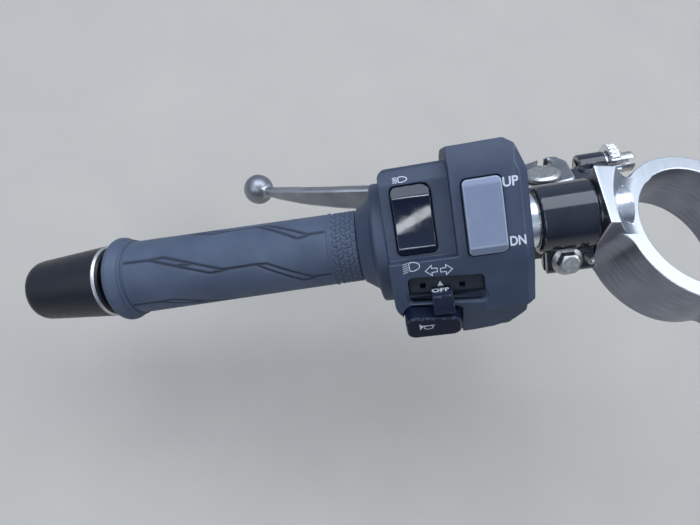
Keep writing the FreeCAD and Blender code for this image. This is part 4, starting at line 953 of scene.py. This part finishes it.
def headlamp(name, place, wide, high, beam_fall):
    """the usual headlamp sign: a lens to the right, and beams to the left that fall by so much"""
    half = high / 2
    upper = [(-0.45, half * 0.62), (-0.12, half * 0.93)]
    bulge = [(x * (wide - 0.5), y * half) for x, y in arc((0, 0), 1, 80, -80, 12)]
    lower = [(x, -y) for x, y in reversed(upper)]
    contours = contour(upper + bulge + lower, PEN, closed=True)
    for row in range(BEAM_ROWS):
        height = (half - BEAM_MARGIN) * (1 - 2 * row / (BEAM_ROWS - 1))
        beam = [(BEAM_START, height), (BEAM_START - BEAM_SHARE * wide, height - beam_fall)]
        contours += contour(beam, BEAM_PEN)
    return printed(name, contours, place)


def turn_arrow(name, place, way):
    """an outlined arrow that points left, or right for a way of -1"""
    arrow = [
        (-2.2, 0.05), (0.15, 2.1), (0.15, 0.85), (2.15, 0.8), (2.15, -0.7), (0.15, -0.75), (0.15, -2.0),
    ]
    if way < 0:
        arrow = [(-x, y) for x, y in reversed(arrow)]
    return printed(name, contour(arrow, ARROW_PEN, closed=True), place)


# Faces that carry marks: the turn of each about the bar, and how far out the print lies
FACE_OUT = 30.02
PLATE_OUT = 23.82
BROW_ROLL, BROW_OUT = 90.7, 34.12
SLOPE_ROLL, SLOPE_OUT = 44, 30.15
SLIDER_ROLL, SLIDER_OUT = 139.4, -13.09
HORN_OUT = 39.52
headlamp("high_beam_sign", on_face(BROW_ROLL, 117.8, 7.75, BROW_OUT), 3.3, 2.5, 0)
headlamp("low_beam_sign", on_face(SLOPE_ROLL, 118.1, 0.25, SLOPE_OUT), 3.9, 3.7, 0.7)
turn_arrow("turn_left_sign", on_face(SLOPE_ROLL, 110.7, -2.3, SLOPE_OUT), 1)
turn_arrow("turn_right_sign", on_face(SLOPE_ROLL, 105.25, -2.65, SLOPE_OUT), -1)
lettered("up_word", "UP", 3.3, 5.3, on_face(CASE_ROLL, 79.9, 18.86, FACE_OUT))
lettered("down_word", "DN", 3.3, 5.5, on_face(CASE_ROLL, 79.2, -2.16, FACE_OUT))
pointer = [(-1.1, -0.9), (1.1, -0.9), (0, 0.95)]
printed("off_arrow", [pointer], on_face(CASE_ROLL, 107.95, -15.4, PLATE_OUT))
lettered("off_word", "OFF", 3.1, 6.4, on_face(SLIDER_ROLL, 108.4, -30.0, SLIDER_OUT))

# A post horn: its bell and tube filled, its loop drawn
bell = [
    (-2.9, 2.3), (-2.45, 1.35), (-1.5, 0.85), (2.9, 0.8), (2.9, 0.35), (-1.5, 0.25), (-2.45, -1.1),
    (-2.9, -2.2),
]
loop = [(0.45 + 1.75 * x, -0.6 + 1.2 * y) for x, y in arc((0, 0), 1, 0, 345, 23)]
horn_place = on_face(HORN_ROLL, 114.95, -7.8, HORN_OUT)
printed("horn_sign", [bell], horn_place)
printed("horn_loop_sign", contour(loop, PEN, closed=True), horn_place)


# Floor, light and camera

FLOOR_LEVEL = -0.15
FLOOR_SIDE = 8
bpy.ops.mesh.primitive_plane_add(size=FLOOR_SIDE, location=(0, 0, FLOOR_LEVEL))
floor = bpy.context.object
floor.name = "floor"
pale = Finish("pale_floor", 0.7)
pale_colour = pale.mix(pale.noise(60, 6), (0.4, 0.37, 0.335), (0.46, 0.43, 0.385))
floor.data.materials.append(pale.done(pale_colour, None, pale.bump(pale.noise(3, 4), 0.2, 0.3)))

# The surroundings: pale above and ahead, dark below and behind the rider
PALE_WAY = (0, 0.45, 0.89)
DARK_FROM, PALE_TO = -0.6, 0.9
DARK_TINT = (0.1, 0.125, 0.18, 1)
PALE_TINT = (0.52, 0.62, 0.78, 1)
SURROUND_STRENGTH = 0.8
world = bpy.data.worlds.new("studio")
bpy.context.scene.world = world
world.use_nodes = True
nodes = world.node_tree.nodes
around = nodes.new("ShaderNodeTexCoord")
facing = nodes.new("ShaderNodeVectorMath")
facing.operation = "DOT_PRODUCT"
facing.inputs[1].default_value = PALE_WAY
height = nodes.new("ShaderNodeMapRange")
height.interpolation_type = "SMOOTHSTEP"
height.inputs["From Min"].default_value = DARK_FROM
height.inputs["From Max"].default_value = PALE_TO
tint = nodes.new("ShaderNodeMix")
tint.data_type = "RGBA"
tint.inputs[FIRST_COLOUR].default_value = DARK_TINT
tint.inputs[SECOND_COLOUR].default_value = PALE_TINT
for source, target in (
    (around.outputs["Generated"], facing.inputs[0]),
    (facing.outputs["Value"], height.inputs["Value"]),
    (height.outputs["Result"], tint.inputs["Factor"]),
    (tint.outputs[MIXED_COLOUR], nodes["Background"].inputs["Color"]),
):
    world.node_tree.links.new(source, target)
nodes["Background"].inputs["Strength"].default_value = SURROUND_STRENGTH

# Area lights: name, place, where it points, its long way, size, power, colour. The strip is the bright
# slanting line in the gloss of the rocker.
LIGHTS = (
    ("sky", (-0.2, 0.5, 1.1), (-0.15, 0.0, 0.0), (1, 0, 0), (1.6, 0.9), 14, (0.82, 0.9, 1.0)),
    (
        "strip", (-0.3135, -0.633, 0.603), (-0.115, -0.015, -0.005), (0.5, -0.66, -0.56), (0.5, 0.06), 1.2,
        (0.9, 0.95, 1.0),
    ),
    ("window", (-0.9, -0.3, 0.7), (-0.12, 0.0, 0.0), (1, 0, 0), (0.7, 0.7), 2, (0.9, 0.95, 1.0)),
    ("side", (0.7, 0.1, 0.9), (-0.05, 0.0, 0.0), (1, 0, 0), (0.6, 0.8), 5, (0.95, 0.96, 1.0)),
)
for name, place, target, long_way, size, power, colour in LIGHTS:
    lamp = bpy.data.lights.new(name, "AREA")
    lamp.shape = "RECTANGLE"
    lamp.size, lamp.size_y = size
    lamp.energy = power
    lamp.color = colour
    holder = bpy.data.objects.new(name, lamp)
    bpy.context.scene.collection.objects.link(holder)
    back = (Vector(place) - Vector(target)).normalized()
    right = (Vector(long_way) - back * back.dot(Vector(long_way))).normalized()
    turned = Matrix((right, back.cross(right), back)).transposed().to_4x4()
    holder.matrix_world = Matrix.Translation(place) @ turned

NEAR_CLIP = 0.01
lens = bpy.data.cameras.new("camera")
lens.sensor_width = SENSOR_WIDTH
lens.lens = FOCAL_PIXELS / IMAGE_WIDTH * SENSOR_WIDTH
lens.clip_start = NEAR_CLIP
camera = bpy.data.objects.new("camera", lens)
bpy.context.scene.collection.objects.link(camera)
turned = Matrix((CAMERA_RIGHT, CAMERA_UP, CAMERA_BACK)).transposed().to_4x4()
camera.matrix_world = Matrix.Translation(CAMERA_PLACE) @ turned
bpy.context.scene.camera = camera
bpy.context.scene.view_settings.view_transform = "Standard"

bpy.context.view_layer.update()
